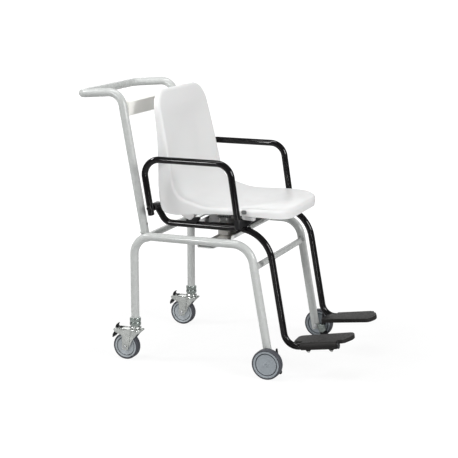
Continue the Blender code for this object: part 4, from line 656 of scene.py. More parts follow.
def build_shell(name, columns=40, roll_steps=6, skirt_steps=4):
    rows = shell_rows()
    shares = [2 * j / columns - 1 for j in range(columns + 1)]
    frames = [shell_frame(distance) for distance, _ in rows]
    last = len(rows) - 1
    mesh = bmesh.new()
    grid = []
    for (distance, width), (here, _, _, normal) in zip(rows, frames):
        ends = min(distance - rows[0][0], rows[last][0] - distance)
        dish = normal * (DISH * ease(ease(min(ends / DISH_RUN, 1.0))))
        grid.append([mesh.verts.new(in_space(width * s, here - dish * (1 - s * s))) for s in shares])
    for first, second in zip(grid, grid[1:]):
        for j in range(columns):
            mesh.faces.new((first[j], first[j + 1], second[j + 1], second[j]))
    edge = [(i, columns) for i in range(last + 1)] + [(last, j) for j in range(columns - 1, 0, -1)]
    edge += [(i, 0) for i in range(last, -1, -1)] + [(0, j) for j in range(1, columns)]
    facing = [outward(rows, i, j, columns) for i, j in edge]
    rounds = [pi / 2 * k / roll_steps for k in range(1, roll_steps + 1)]
    levels = [(ROLL * sin(turn), ROLL * (1 - cos(turn)), 0.0) for turn in rounds]
    levels += [(ROLL, ROLL, k / skirt_steps) for k in range(1, skirt_steps + 1)]
    rim = [[grid[i][j] for i, j in edge]]
    for out, sink, skirt in levels:
        loop = []
        for (i, j), (across, ahead) in zip(edge, facing):
            here, travel, down, _ = frames[i]
            base = in_space(rows[i][1] * shares[j], here)
            sideways = Vector((across, 0, 0)) + in_space(0, travel) * ahead
            depth = sink + (down.length - ROLL) * skirt
            loop.append(mesh.verts.new(base + sideways * out + in_space(0, down.normalized()) * depth))
        rim.append(loop)
    for first, second in zip(rim, rim[1:]):
        for k in range(len(first)):
            after = (k + 1) % len(first)
            mesh.faces.new((first[k], first[after], second[after], second[k]))
    data = bpy.data.meshes.new(name)
    mesh.to_mesh(data)
    mesh.free()
    return new_object(name, data)


choose(build_shell("seat_moulding"))
into_edit()
bpy.ops.mesh.normals_make_consistent(inside=False)
shell = settle("seat_moulding")
add_modifier(shell, "SOLIDIFY", thickness=SHELL_WALL, offset=-1.0)
smooth(shell, 40)
dress(shell, "moulded_seat_plastic", "seat_shell")
print("shell faces", len(shell.data.polygons))

# %% [markdown]
# ## Lathe work: the wheels
# A wheel is turned: half of its section is drawn point by point and spun round the axle. The
# disc has a raised lip, a groove and a shallow dish. A thin dark ring on the groove's floor is
# painted shade, for the shade that falls into the groove.

# %% A lathe
def draw_chain(points):
    """A chain of edges through the points, in edit mode."""
    points = [Vector(p) for p in points]
    fresh()
    bpy.ops.mesh.primitive_plane_add(size=0.001, location=points[0])
    into_edit()
    bpy.ops.mesh.merge(type="CENTER")
    for a, b in zip(points, points[1:]):
        pull(b - a)


def turned(name, profile, origin, axis, steps=64, closed=False):
    """Spins (radius, height) points round an axis."""
    origin = Vector(origin)
    axis = Vector(axis).normalized()
    out = axis.orthogonal().normalized()
    points = [origin + out * r + axis * h for r, h in profile]
    if closed:
        points.append(points[0])
    draw_chain(points)
    pick_all()
    bpy.ops.mesh.spin(steps=steps, angle=tau, center=tuple(origin), axis=tuple(axis))
    tidy_faces()
    piece = settle(name)
    smooth(piece)
    return piece


def arc(centre, radius, start, end, count=6):
    """Points on a part of a circle, angles in degrees."""
    turns = [radians(start + (end - start) * k / count) for k in range(count + 1)]
    return [(centre[0] + radius * cos(t), centre[1] + radius * sin(t)) for t in turns]


# %% Wheels
TYRE_EDGE = 0.004
DISC_GAP = 0.0002
WHEEL_STEPS = 96
# Radius as a share of the disc's, and depth below the wheel's face
DISC_LINE = (
    (0, 0.0034), (0.1, 0.0034), (0.12, 0.0022), (0.17, 0.0022), (0.19, 0.003), (0.6, 0.0028),
    (0.765, 0.002), (0.775, 0.005), (0.835, 0.005), (0.845, 0.001), (0.9, 0.0002),
)
# A dark ring of painted shade on the floor of the disc's groove
GROOVE_SHADE_RING = ((0.772, 0.0046), (0.838, 0.0046), (0.838, 0.0052), (0.772, 0.0052))
CASTOR_AXLE = (0.2924, 0.0458)
FRONT_AXLE = (-0.2321, 0.0505)
DISC_LIP = ((-0.0008, 0.0004), (0.0, 0.0014))
# Name, measured part's name, disc finish, X, axle, width and the disc's share of the radius
WHEELS = (
    ("front_wheel", "front_wheel", "wheel_plastic", 0.26525, FRONT_AXLE, 0.0265, 0.9),
    ("castor_wheel", "castor", "castor_plastic", FRAME_X, CASTOR_AXLE, 0.026, 0.87),
)


def make_wheel(label, side, kind, cad, finish, x, axle, width, share):
    """Tyre and disc. Heights run from the outer face inwards along the axle."""
    prefix = f"{kind}_{label}"
    body = f"{prefix}_body"
    axis = Vector((-side, 0, 0))
    face = on_side(side, x, *axle) - axis * (width / 2)
    disc = axle[1] * share
    bulge = axle[1] - TYRE_EDGE
    tyre = arc((bulge, TYRE_EDGE), TYRE_EDGE, -90, 0) + arc((bulge, width - TYRE_EDGE), TYRE_EDGE, 0, 90)
    tyre += [(disc, width), (disc, 0.0)]
    piece = turned(f"{prefix}_tyre", tyre, face, axis, WHEEL_STEPS, closed=True)
    dress(piece, "wheel_rubber", f"{cad}_tread_{label}", body=body)
    lip = disc - DISC_GAP
    side_line = [(disc * r, h) for r, h in DISC_LINE] + [(lip + r, h) for r, h in DISC_LIP]
    other = [(r, width - h) for r, h in reversed(side_line)]
    piece = turned(f"{prefix}_disc", side_line + other, face, axis, WHEEL_STEPS)
    dress(piece, finish, f"{cad}_hub_{label}", body=body)
    # A thin dark ring on each face lines the groove: painted shade.
    for number, flip in enumerate((0.0, width), 1):
        ring = [(disc * r, abs(flip - h)) for r, h in GROOVE_SHADE_RING]
        piece = turned(f"{prefix}_groove_{number}", ring, face, axis, WHEEL_STEPS, closed=True)
        dress(piece, "wheel_groove", body=body)


for label, side in SIDES:
    for row in WHEELS:
        make_wheel(label, side, *row)
print("wheels made")

# %% [markdown]
# ## Cut sheet and swept wire
# Much of the rest is cut sheet: an outline is drawn corner by corner, filled, pulled to its
# thickness, and its edges are rounded. A weld is a bead swept along the line where two
# pieces meet.

# %% Sheet tools
NO_CORNER = 3.1
LONGEST = 0.48
SHEET_EDGE = 0.0006


def soften(points, radii, count=5):
    """Outline in two numbers with its corners rounded."""
    flat = [Vector((*p, 0)) for p in points]
    made = []
    for i, (corner, radius) in enumerate(zip(flat, radii)):
        before = flat[i - 1] - corner
        after = flat[(i + 1) % len(flat)] - corner
        into, away = before.normalized(), after.normalized()
        opening = into.angle(away)
        if radius == 0 or opening > NO_CORNER:
            made.append((corner.x, corner.y))
            continue
        slope = tan(opening / 2)
        radius = min(radius, LONGEST * slope * min(before.length, after.length))
        centre = corner + (into + away).normalized() * (radius / sin(opening / 2))
        start = corner + into * (radius / slope) - centre
        end = corner + away * (radius / slope) - centre
        for k in range(count + 1):
            spot = centre + start.slerp(end, k / count).normalized() * radius
            made.append((spot.x, spot.y))
    return made


def fill_and_pull(outline, step):
    """A closed outline in space, filled and pulled to its thickness, in edit mode."""
    draw_chain([*outline, outline[0]])
    merge_near(NEAR)
    pick_all()
    bpy.ops.mesh.edge_face_add()
    pull(step)
    tidy_faces()


def slab(name, outline, step, edge, rings=3):
    """A filled and pulled outline with rounded edges."""
    fill_and_pull(outline, step)
    piece = settle(name)
    round_edges(piece, edge, rings, 50)
    smooth(piece)
    return piece


def sheet_x(name, outline, x_from, x_to, edge=SHEET_EDGE):
    """Sheet cut in side view, from one X to another."""
    return slab(name, [(x_from, y, z) for y, z in outline], (x_to - x_from, 0, 0), edge)


def side_sheet(name, side, outline, span, edge=SHEET_EDGE):
    """Sheet cut in side view, on one side of the chair."""
    return sheet_x(name, outline, side * span[0], side * span[1], edge)


def joined(name, *pieces, angle=SMOOTH_ANGLE):
    """Several bodies of one finish as one piece."""
    fresh()
    for piece in pieces:
        piece.select_set(True)
    bpy.context.view_layer.objects.active = pieces[0]
    bpy.ops.object.join()
    whole = bpy.context.object
    whole.name = whole.data.name = name
    smooth(whole, angle)
    return whole


# %% Bead and screw
SCREW_SUNK = 0.001


def bead(name, points, radius, closed=False):
    """A round bead along a line of points."""
    draw_chain(list(points) + ([points[0]] if closed else []))
    merge_near(NEAR)
    bpy.ops.object.mode_set(mode="OBJECT")
    bpy.ops.object.convert(target="CURVE")
    line = bpy.context.object
    line.data.bevel_depth = radius
    line.data.bevel_resolution = 3
    line.data.use_fill_caps = True
    bpy.ops.object.convert(target="MESH")
    into_edit()
    tidy_faces()
    piece = settle(name)
    smooth(piece, 60)
    return piece


def dome(radius, height, turns):
    """Points up a dome, with a small flat on top."""
    return [(radius * cos(t), height * sin(t)) for t in turns] + [(0, height)]


def dome_screw(name, place, axis, size):
    """Domed head of a radius and a height."""
    radius, _ = size
    profile = [(0, -SCREW_SUNK), (radius, -SCREW_SUNK)] + dome(*size, (0.0, 0.35, 0.7, 1.05, 1.3))
    return turned(name, profile, place, axis, 24)


# %% [markdown]
# ## Finishes of the small parts
# The socket over each castor is plated darker and greener than the fork. Screws are bright
# nickel. The trough has the frame's grey paint, but its colour here is much paler: painted
# light, for the light that the white floor throws up under the seat. A weld is laid before
# painting, so it has the paint of its tube, but rippled.

# %% Small finishes
bright_metal("socket_zinc", "zinc", (0.34, 0.38, 0.36), 0.24, 80, 500)
bright_metal("screw_nickel", "steel", (0.7, 0.7, 0.69), 0.22, 200, 1500)
grained("grey_plug", "hub", (0.2, 0.205, 0.205), 0.45, 0.08, 60, 1200, 0.00004, 0.3)
# The trough's pale colour is painted light: the real trough has the frame's grey paint.
powder_coat("trough_painted_light", "grey_paint", (0.8, 0.81, 0.8), 0.3, 0.3, 0.14)
grey_weld = powder_coat("grey_weld", "grey_paint", (0.5, 0.515, 0.5), 0.42, 0.1)
bump(grey_weld, noise(grey_weld.node_tree, 260, 2.0), 0.8, 0.0009)

# %% [markdown]
# ## Armrest hinge, peg and caps
# The hinge is a barrel across the end of the seat tube. Its pin goes through the armrest and
# ends in a dome. In front the armrest's foot wears a thin black cap and stands on a short
# peg. A rounded plug closes its rear end.

# %% Armrest fittings
HINGE_AT = (0.186, 0.1914, 0.535)
HINGE_LINE = (
    (0, 0), (0.0112, 0), (0.0125, 0.0005), (0.013, 0.0018), (0.013, 0.051), (0.0125, 0.0522),
    (0.0115, 0.0525), (0.0049, 0.0525), (0.0049, 0.0751), (0.008, 0.0751), (0.008, 0.0764),
    (0.0066, 0.0786), (0.0036, 0.0801), (0, 0.0804),
)
PEG_AT = (0.2624, -0.1256, 0.4825)
PEG_LINE = ((0, 0), (0.0036, 0), (0.0046, 0.0005), (0.005, 0.0016), (0.005, 0.055), (0, 0.055))
CAP_LINE = (
    (0, -0.0055), (0.0098, -0.0055), (0.0116, -0.0044), (0.0123, -0.002), (0.0123, 0.0246),
    (0.0119, 0.0256), (0.011, 0.026), (0, 0.026),
)
PLUG_LINE = [(0, -0.008), (0.0088, -0.008), (0.0088, 0), (0.0109, 0)]
PLUG_LINE += dome(0.0109, 0.0036, (0.3, 0.6, 0.9, 1.2))
for label, side in SIDES:
    barrel = turned(f"armrest_hinge_{label}", HINGE_LINE, on_side(side, *HINGE_AT), (side, 0, 0), 48)
    dress(barrel, "black_powder_coat", f"armrest_pivot_{label}")
    peg = turned(f"armrest_rest_peg_{label}", PEG_LINE, on_side(side, *PEG_AT), (-side, 0, 0), 36)
    dress(peg, "black_powder_coat", f"armrest_peg_{label}")
    body = f"armrest_{label}_body"
    foot, front_top, rear_top, end = arm_corners(side)
    cap = turned(f"armrest_foot_cap_{label}", CAP_LINE, foot, front_top - foot, 48)
    dress(cap, "black_plastic", f"armrest_foot_{label}", body=body)
    plug = turned(f"armrest_end_plug_{label}", PLUG_LINE, end, end - rear_top, 40)
    dress(plug, "black_plastic", body=body)
print("armrest fittings made")

# %% [markdown]
# ## What holds the shell
# The shell stands on four short feet, moulded with it, and a black wedge takes up the slope
# between each foot and the round tube. In front a flat strap with a pad on it runs inwards
# from each seat tube, and two bright screws a side stand on the cross plate.

# %% Shell feet, wedges and straps
FOOT_SPAN = (SEAT_X - 0.007, SEAT_X + 0.007)
WEDGE_SPAN = (SEAT_X - 0.009, SEAT_X + 0.009)
FOOT_EDGE = 0.0012
WEDGE_ROUND = 0.002
WEDGE_EDGE = 0.001
FRONT_FOOT = (
    (-0.1165, 0.533), (-0.1176, 0.516), (-0.1225, 0.511), (-0.161, 0.509), (-0.163, 0.52), (-0.16, 0.533),
)
FRONT_WEDGE = (
    (-0.114, 0.49), (-0.1145, 0.515), (-0.1225, 0.5112), (-0.15, 0.509), (-0.152, 0.505), (-0.134, 0.488),
    (-0.124, 0.485),
)
REAR_FOOT = (
    (0.099, 0.525), (0.0975, 0.508), (0.07, 0.4955), (0.062, 0.498), (0.053, 0.506), (0.052, 0.525),
)
REAR_WEDGE = (
    (0.08, 0.486), (0.081, 0.499), (0.07, 0.4955), (0.062, 0.498), (0.053, 0.506), (0.036, 0.506),
    (0.035, 0.499), (0.045, 0.487),
)
FEET = (
    ("front", FRONT_FOOT, (0, 0.003, 0.003, 0.004, 0.004, 0), FRONT_WEDGE),
    ("rear", REAR_FOOT, (0, 0.004, 0.004, 0.003, 0.004, 0), REAR_WEDGE),
)
STRAP_SPAN = (0.193, 0.075)
STRAP_EDGE = 0.0005
PAD_SPAN = (0.193, 0.079)
PAD_EDGE = 0.0008
STRAP = ((-0.145, 0.483), (-0.145, 0.4945), (-0.141, 0.4955), (-0.137, 0.4955), (-0.137, 0.483))
PAD = ((-0.146, 0.4958), (-0.146, 0.4985), (-0.13, 0.4985), (-0.13, 0.4958))
PLATE_SCREWS = ((0.161, -0.0218), (0.1525, -0.043))
PLATE_SCREW_Z = 0.4912
PLATE_SCREW = (0.0036, 0.0105)
for label, side in SIDES:
    for where, outline, rounding, corners in FEET:
        plan = soften(outline, rounding)
        foot = side_sheet(f"shell_foot_{where}_{label}", side, plan, FOOT_SPAN, FOOT_EDGE)
        dress(foot, "moulded_seat_plastic", f"seat_lug_{where}_{label}")
        plan = soften(corners, [WEDGE_ROUND] * len(corners))
        wedge = side_sheet(f"seat_wedge_{where}_{label}", side, plan, WEDGE_SPAN, WEDGE_EDGE)
        dress(wedge, "black_plastic")
    dress(side_sheet(f"front_strap_{label}", side, STRAP, STRAP_SPAN, STRAP_EDGE), "zinc_plate")
    dress(side_sheet(f"front_strap_pad_{label}", side, PAD, PAD_SPAN, PAD_EDGE), "black_plastic")
    for number, (x, y) in enumerate(PLATE_SCREWS, 1):
        name = f"cross_plate_screw_{label}_{number}"
        bolt = dome_screw(name, (side * x, y, PLATE_SCREW_Z), (0, 0, 1), PLATE_SCREW)
        dress(bolt, "screw_nickel")
print("shell feet and straps made")

# %% [markdown]
# ## Trough under the load cell
# The cell lies in a folded channel that is welded under both rails, on a thin spacer. The
# rear wall is short and steep, the front wall leans far forward and ends in an upright lip.
# The floor runs under the rails, and the walls are cut back beside them.

# %% Trough
FOLD = ((-0.0887, 0.457), (-0.0887, 0.4458), (-0.032, 0.4147), (0.0222, 0.4147), (0.0258, 0.4226))
TROUGH_WALL = 0.0024
FLOOR_END = 0.246
REAR_END = 0.239
FRONT_END = 0.223
CORNERS_FROM = 0.24
WALLS_FROM = 0.42
REAR_WALL_TOP = 0.43
TROUGH_EDGE = 0.0009
SAME_PLACE = 0.00002
SPACER = ((-0.0244, 0.4162), (-0.0244, 0.421), (0.0138, 0.421), (0.0138, 0.4162))
SPACER_END = 0.097
draw_chain([(-FLOOR_END, y, z) for y, z in FOLD])
pick_all()
for reach in (FLOOR_END - FRONT_END, FRONT_END, FRONT_END, FLOOR_END - FRONT_END):
    pull((reach, 0, 0))
tidy_faces()
trough = settle("load_trough")
for vertex in trough.data.vertices:
    if abs(vertex.co.x) > CORNERS_FROM and vertex.co.z > WALLS_FROM:
        vertex.co.x = copysign(FRONT_END if vertex.co.z > REAR_WALL_TOP else REAR_END, vertex.co.x)
into_edit()
merge_near(SAME_PLACE)
bpy.ops.object.mode_set(mode="OBJECT")
add_modifier(trough, "SOLIDIFY", thickness=TROUGH_WALL, offset=0.0)
round_edges(trough, TROUGH_EDGE, 3, 20)
smooth(trough)
# The trough has the frame's paint; its pale colour is painted light, for the floor's bounce.
dress(trough, "trough_painted_light", "load_cell_trough")
spacer = sheet_x("load_cell_spacer", SPACER, -SPACER_END, SPACER_END)
# The spacer takes the load cell's pale beige, partly painted light.
dress(spacer, "cell_silver")
low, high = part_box("load_cell_trough")
print("trough", [round(v, 4) for v in (*low, *high)])

# %% [markdown]
# ## Castors
# Each castor turns in a plated socket with two rings, at the foot of the leg. The fork is
# folded from sheet: a roof with a round front end, and two cheeks that run back and down to
# the axle. The rocker pedal hooks over the rear end of the roof.

# %% Castor sections
SOCKET_LINE = (
    (0, 0.1205), (0.015, 0.1205), (0.015, 0.1222), (0.0184, 0.123), (0.0192, 0.1242), (0.0192, 0.1325),
    (0.0186, 0.1338), (0.0168, 0.1344), (0.0168, 0.1364), (0.0184, 0.137), (0.019, 0.1384),
    (0.019, 0.1468), (0.0182, 0.1486), (0.0162, 0.149), (0.0138, 0.149), (0, 0.148),
)
RACE_LINE = [(0, 0.1092), (0.0168, 0.1092), *arc((0.0158, 0.114), 0.0046, -80, 80, 10)]
RACE_LINE += [(0.015, 0.119), (0.015, 0.121), (0, 0.121)]
CUP_LINE = [(0, 0.0985), (0.015, 0.0985), *arc((0.0164, 0.1034), 0.0044, -80, 80, 10)]
CUP_LINE += [(0.0162, 0.1086), (0, 0.1086)]
STEM_LINE = ((0, 0), (0.003, 0), (0.0037, 0.0008), (0.0037, 0.045), (0, 0.045))
CHEEK_BACK = (
    (0.269, 0.1085), (0.2785, 0.05), (0.28, 0.033), (0.3048, 0.033), (0.303, 0.057), (0.3035, 0.085),
    (0.329, 0.094), (0.3362, 0.1012), (0.333, 0.1062), (0.328, 0.1085),
)
CHEEK_BACK_ROUND = (0, 0, 0.0118, 0.0118, 0.01, 0.008, 0.006, 0.002, 0.002, 0.003)
CHEEK_FRONT = (
    (0.269, 0.1085), (0.2335, 0.1085), (0.2335, 0.104), (0.249, 0.0905), (0.262, 0.074), (0.2755, 0.047),
    (0.2792, 0.0455),
)
CHEEK_FRONT_ROUND = (0, 0.002, 0.003, 0.03, 0.02, 0.004, 0)
# Name, outline, rounding, outer face's distance from the middle, and thickness
CHEEKS = (
    ("cheek_back", CHEEK_BACK, CHEEK_BACK_ROUND, 0.0182, 0.0026),
    ("cheek_front", CHEEK_FRONT, CHEEK_FRONT_ROUND, 0.0164, 0.0024),
)

# %% Castor socket and fork
ROOF_HALF = 0.0182
ROOF_ROUND = 0.0185
ROOF_AHEAD = 0.003
ROOF_EDGE = 0.0008
ROOF_REAR_Y = 0.308
ROOF_Z = 0.1056
ROOF_SHEET = 0.0028
NUT_R = 0.0072
NUT_FROM = 0.0184
NUT_TO = 0.0222
STEM_START = 0.0225
axle_y, axle_z = CASTOR_AXLE
for label, side in SIDES:
    x = side * FRAME_X
    body = f"castor_fork_{label}_body"
    post = ((x, REAR_Y, 0), (0, 0, 1))
    socket = turned(f"castor_socket_turned_{label}", SOCKET_LINE, *post)
    dress(socket, "socket_zinc", f"castor_socket_{label}")
    dress(turned(f"castor_race_{label}", RACE_LINE, *post), "chrome_plate")
    parts = []
    for way in (-1.0, 1.0):
        for name, outline, rounding, half, thick in CHEEKS:
            outer = x + way * half
            parts.append(sheet_x(name, soften(outline, rounding, 7), outer, outer - way * thick))
    turns = [pi + pi * k / 20 for k in range(21)]
    plan = [(ROOF_HALF * cos(t), REAR_Y - ROOF_AHEAD + ROOF_ROUND * sin(t)) for t in turns]
    plan += [(ROOF_HALF, ROOF_REAR_Y), (-ROOF_HALF, ROOF_REAR_Y)]
    parts.append(slab("roof", [(x + dx, y, ROOF_Z) for dx, y in plan], (0, 0, ROOF_SHEET), ROOF_EDGE))
    dress(turned(f"castor_cup_{label}", CUP_LINE, *post), "chrome_plate", body=body)
    fork = joined(f"castor_fork_folded_{label}", *parts)
    dress(fork, "zinc_plate", f"castor_fork_{label}", body=body)
    turns = [tau * k / 6 for k in range(6)]
    hexagon = [(axle_y + NUT_R * cos(t), axle_z + NUT_R * sin(t)) for t in turns]
    nut = sheet_x("nut", hexagon, x - NUT_FROM, x - NUT_TO)
    head = sheet_x("head", hexagon, x + NUT_FROM, x + NUT_TO)
    stem = turned("stem", STEM_LINE, (x - STEM_START, axle_y, axle_z), (1, 0, 0), 24)
    axle = joined(f"castor_axle_bolt_{label}", nut, head, stem)
    dress(axle, "bright_steel", f"castor_axle_{label}", body=body)

# %% Castor pedals
HOOK = (
    (0.3113, 0.1094), (0.3113, 0.1118), (0.3225, 0.1116), (0.3242, 0.116), (0.3208, 0.1236),
    (0.324, 0.1232), (0.3305, 0.1168), (0.3335, 0.109), (0.3325, 0.095), (0.327, 0.095), (0.327, 0.109),
)
HOOK_ROUND = (0.001, 0.001, 0.002, 0.003, 0.0006, 0.001, 0.006, 0.005, 0, 0, 0.002)
HOOK_HALF = 0.0055
TONGUE = (
    (0.3075, 0.096), (0.3075, 0.0895), (0.315, 0.0895), (0.326, 0.0868), (0.3335, 0.0815),
    (0.3392, 0.0725), (0.3413, 0.0752), (0.34, 0.085), (0.3345, 0.0935), (0.3315, 0.0985),
    (0.327, 0.0985), (0.323, 0.096),
)
TONGUE_ROUND = (0.002, 0.002, 0.003, 0.006, 0.005, 0.0008, 0.0015, 0.006, 0.006, 0.002, 0.002, 0.003)
TONGUE_HALF = 0.0148
for label, side in SIDES:
    x = side * FRAME_X
    hook = sheet_x("hook", soften(HOOK, HOOK_ROUND), x - HOOK_HALF, x + HOOK_HALF, edge=0.0007)
    tongue = sheet_x("tongue", soften(TONGUE, TONGUE_ROUND), x - TONGUE_HALF, x + TONGUE_HALF, edge=0.001)
    pedal = joined(f"castor_pedal_{label}", hook, tongue)
    dress(pedal, "black_plastic", f"castor_brake_{label}", body=f"castor_brake_{label}_body")
print("castors made")

# %% [markdown]
# ## Front wheel bolts and brakes
# The front wheels turn on a bolt through the foot of the leg. On the inner side a small
# plated block carries the brake: a lever with a toe pad below and a tab beside the wheel.

# %% Front wheel fittings
BLOCK = ((-0.2472, 0.028), (-0.2419, 0.057), (-0.2646, 0.057), (-0.2696, 0.036), (-0.2606, 0.028))
BLOCK_ROUND = (0, 0, 0.004, 0.004, 0.004)
BLOCK_SPAN = (0.2215, 0.2365)
PIN_AT = (0.229, -0.2576, 0.043)
PIN_LINE = ((0, 0), (0.0034, 0), (0.0034, 0.0155), (0.0028, 0.0162), (0, 0.0162))
LEVER = (
    (-0.2531, 0.099), (-0.2576, 0.099), (-0.2646, 0.056), (-0.2661, 0.033), (-0.2746, 0.024),
    (-0.2736, 0.014), (-0.2466, 0.014), (-0.2466, 0.024), (-0.2511, 0.033), (-0.2511, 0.056),
)
LEVER_ROUND = (0.0015, 0.0015, 0.006, 0.005, 0.003, 0.003, 0.003, 0.003, 0.005, 0.006)
LEVER_SPAN = (0.237, 0.2445)
BOLT_X = 0.2161
BOLT_LINE = (
    (0, 0), (0.0052, 0), (0.0074, 0.001), (0.0084, 0.0028), (0.0085, 0.005), (0.005, 0.005),
    (0.005, 0.05), (0, 0.05),
)
for label, side in SIDES:
    block = side_sheet(f"brake_block_{label}", side, soften(BLOCK, BLOCK_ROUND), BLOCK_SPAN, edge=0.0008)
    pin = turned("pin", PIN_LINE, on_side(side, *PIN_AT), (side, 0, 0), 24)
    block = joined(f"brake_block_{label}", block, pin)
    dress(block, "socket_zinc", f"front_brake_mount_{label}")
    lever = side_sheet(f"brake_lever_{label}", side, soften(LEVER, LEVER_ROUND), LEVER_SPAN, edge=0.0009)
    body = f"front_brake_{label}_body"
    dress(lever, "black_plastic", f"front_brake_lever_{label}", body=body)
    place = on_side(side, BOLT_X, *FRONT_AXLE)
    bolt = turned(f"front_wheel_bolt_{label}", BOLT_LINE, place, (side, 0, 0), 40)
    dress(bolt, "bright_steel", f"front_axle_{label}")
print("front wheel fittings made")

# %% [markdown]
# ## Foot boards
# A foot board is one thick moulding with a hinge barrel along its outer edge. The tube runs
# through the barrel, and a flanged plug keeps the board on it. Two screws from below hold
# the friction pads.

# %% Foot boards
tilt = atan(BOARD_SLOPE)
FORWARD = Vector((0, -cos(tilt), sin(tilt)))
UPWARD = Vector((0, sin(tilt), cos(tilt)))
# Plan of a board, from the tube inwards and forward
BOARD = (
    (0, 0.0105), (0.014, 0.0105), (0.018, -0.0225), (0.093, -0.0275), (0.113, 0.158), (0.07, 0.1752),
    (0.0175, 0.1545), (0.014, 0.133), (0, 0.133),
)
BOARD_ROUND = (0, 0, 0.016, 0.02, 0.018, 0.06, 0.024, 0, 0)
BOARD_THICK = 0.0132
BOARD_EDGE = 0.0026
BOARD_LOW = 0.0001
BARREL_LINE = (
    (0.0113, 0.01), (0.0125, 0.01), (0.0131, 0.0108), (0.0131, 0.1327), (0.0125, 0.1335),
    (0.0113, 0.1335),
)
BOSS_LINE = ((0, 0), (0.0085, 0), (0.008, 0.0048), (0.007, 0.0054), (0, 0.0054))
BOSSES = (0.0334, 0.1133)
BOSS_DROP = 0.0105
SCREW_DROP = 0.0053
FOOT_SCREW = (0.006, 0.0066)
END_LINE = (
    (0, -0.012), (0.0087, -0.012), (0.0087, 0.0003), (0.0122, 0.0003), (0.0128, 0.001), (0.0128, 0.0024),
    (0.012, 0.0032), (0, 0.0033),
)
for label, side in SIDES:
    start = on_side(side, SEAT_X, *BOARD_START)
    plan = soften(BOARD, BOARD_ROUND, 10)
    outline = [start + Vector((-side * a, 0, 0)) + FORWARD * f - UPWARD * BOARD_LOW for a, f in plan]
    board = slab("board", outline, UPWARD * BOARD_THICK, BOARD_EDGE, 5)
    barrel = turned("barrel", BARREL_LINE, start, FORWARD, closed=True)
    board = joined(f"foot_board_{label}", board, barrel, angle=40.0)
    body = f"footplate_{label}_body"
    dress(board, "footplate_plastic", f"footplate_{label}", body=body)
    for number, f in enumerate(BOSSES, 1):
        ending = f"_{label}_{number}"
        under = start + FORWARD * f - UPWARD * BOSS_DROP
        dress(turned("foot_boss" + ending, BOSS_LINE, under, -UPWARD, 32), "footplate_plastic", body=body)
        screw = dome_screw("foot_screw" + ending, under - UPWARD * SCREW_DROP, -UPWARD, FOOT_SCREW)
        dress(screw, "screw_nickel", body=body)
    end = on_side(side, SEAT_X, *board_axis(SEAT_TUBE_END_Y))
    plug = turned(f"seat_tube_plug_{label}", END_LINE, end, FORWARD, 48)
    dress(plug, "black_plastic", f"tube_plug_{label}")
print("foot boards made")

# %% [markdown]
# ## Display housing
# The display hangs between the uprights: a long pale tray, open to the rear, with soft
# edges. Its cream colour is made lighter still as painted light, for the shade behind the
# seat back. Its face plate, window, board and keys keep their measured shape.

# %% Display housing
HOUSING_X = 0.1985
HOUSING_LOW = 0.831
HOUSING_HIGH = 0.877
HOUSING_FACES = (-0.0156, 0.0089, 0.0189)
HOUSING_WALL = 0.0024
HOUSING_EDGE = 0.0011
HOUSING_DEPTH = 0.015
line = upright_y((HOUSING_LOW + HOUSING_HIGH) / 2)
front, rear_high, rear_low = (line + away for away in HOUSING_FACES)
profile = ((front, HOUSING_LOW), (front, HOUSING_HIGH), (rear_high, HOUSING_HIGH), (rear_low, HOUSING_LOW))
fill_and_pull([(-HOUSING_X, y, z) for y, z in profile], (2 * HOUSING_X, 0, 0))
bpy.ops.mesh.select_all(action="DESELECT")
housing_mesh = bmesh.from_edit_mesh(bpy.context.object.data)
rear_face = max(housing_mesh.faces, key=lambda face: face.normal.y)
rear_face.select_set(True)
bmesh.update_edit_mesh(bpy.context.object.data)
bpy.ops.mesh.inset(thickness=HOUSING_WALL)
pull((0, -HOUSING_DEPTH, 0))
pick_all()
housing = settle("display_tray")
round_edges(housing, HOUSING_EDGE, 4, 40)
smooth(housing)
# The tray's cream is partly painted light, for the shade it sits in.
dress(housing, "display_plastic", "display_housing")

# %% [markdown]
# ## Plugs, screws and welds
# A small dark plug sits in each side of the shell's rim. The uprights carry a screw each. A
# weld seam runs round every joint of the grey frame.

# %% Rim plugs and screws
RIM_PLUG = ((-0.1212, 0.5322), (-0.1386, 0.5322), (-0.1386, 0.5448), (-0.1212, 0.5448))
RIM_PLUG_ROUND = (0.005, 0.005, 0.005, 0.005)
RIM_PLUG_SPAN = (0.214, 0.2176)
UPRIGHT_SCREW_Z = 0.4715
UPRIGHT_SCREW_DROP = 0.0135
UPRIGHT_SCREW = (0.0042, 0.002)
UPRIGHT_SCREW_WAY = (0, -1, 0.18)
for label, side in SIDES:
    outline = soften(RIM_PLUG, RIM_PLUG_ROUND, 6)
    dress(side_sheet(f"rim_plug_{label}", side, outline, RIM_PLUG_SPAN), "grey_plug")
    place = on_side(side, HANDLE_X, upright_y(UPRIGHT_SCREW_Z) - UPRIGHT_SCREW_DROP, UPRIGHT_SCREW_Z)
    screw = dome_screw(f"upright_screw_{label}", place, UPRIGHT_SCREW_WAY, UPRIGHT_SCREW)
    dress(screw, "black_plastic")

# %% Welds of the grey frame
SEAM_R = 0.0015
RAIL_SEAM_R = 0.0022
RAIL_SEAM_RISE = 0.0085
RAIL_SEAM_STEP = 0.004
# Name, X of the upright tube, bar, seam's radius and offset from the middle of that tube
SEAMS = (("front", FRAME_X, FRONT_BAR, 0.0107, -0.0022), ("rear", HANDLE_X, REAR_BAR, 0.0114, 0.0))


def ring_on_tube(x_end, line, radius, offset, side, count=28):
    """Line where a bar across meets an upright tube."""
    points = []
    for k in range(count):
        t = tau * k / count
        dy, dz = radius * cos(t), radius * sin(t)
        reach = sqrt(max((FRAME_D / 2) ** 2 - (offset + dy) ** 2, 0.0))
        points.append(on_side(side, x_end - reach, line[0] + dy, line[1] + dz))
    return points


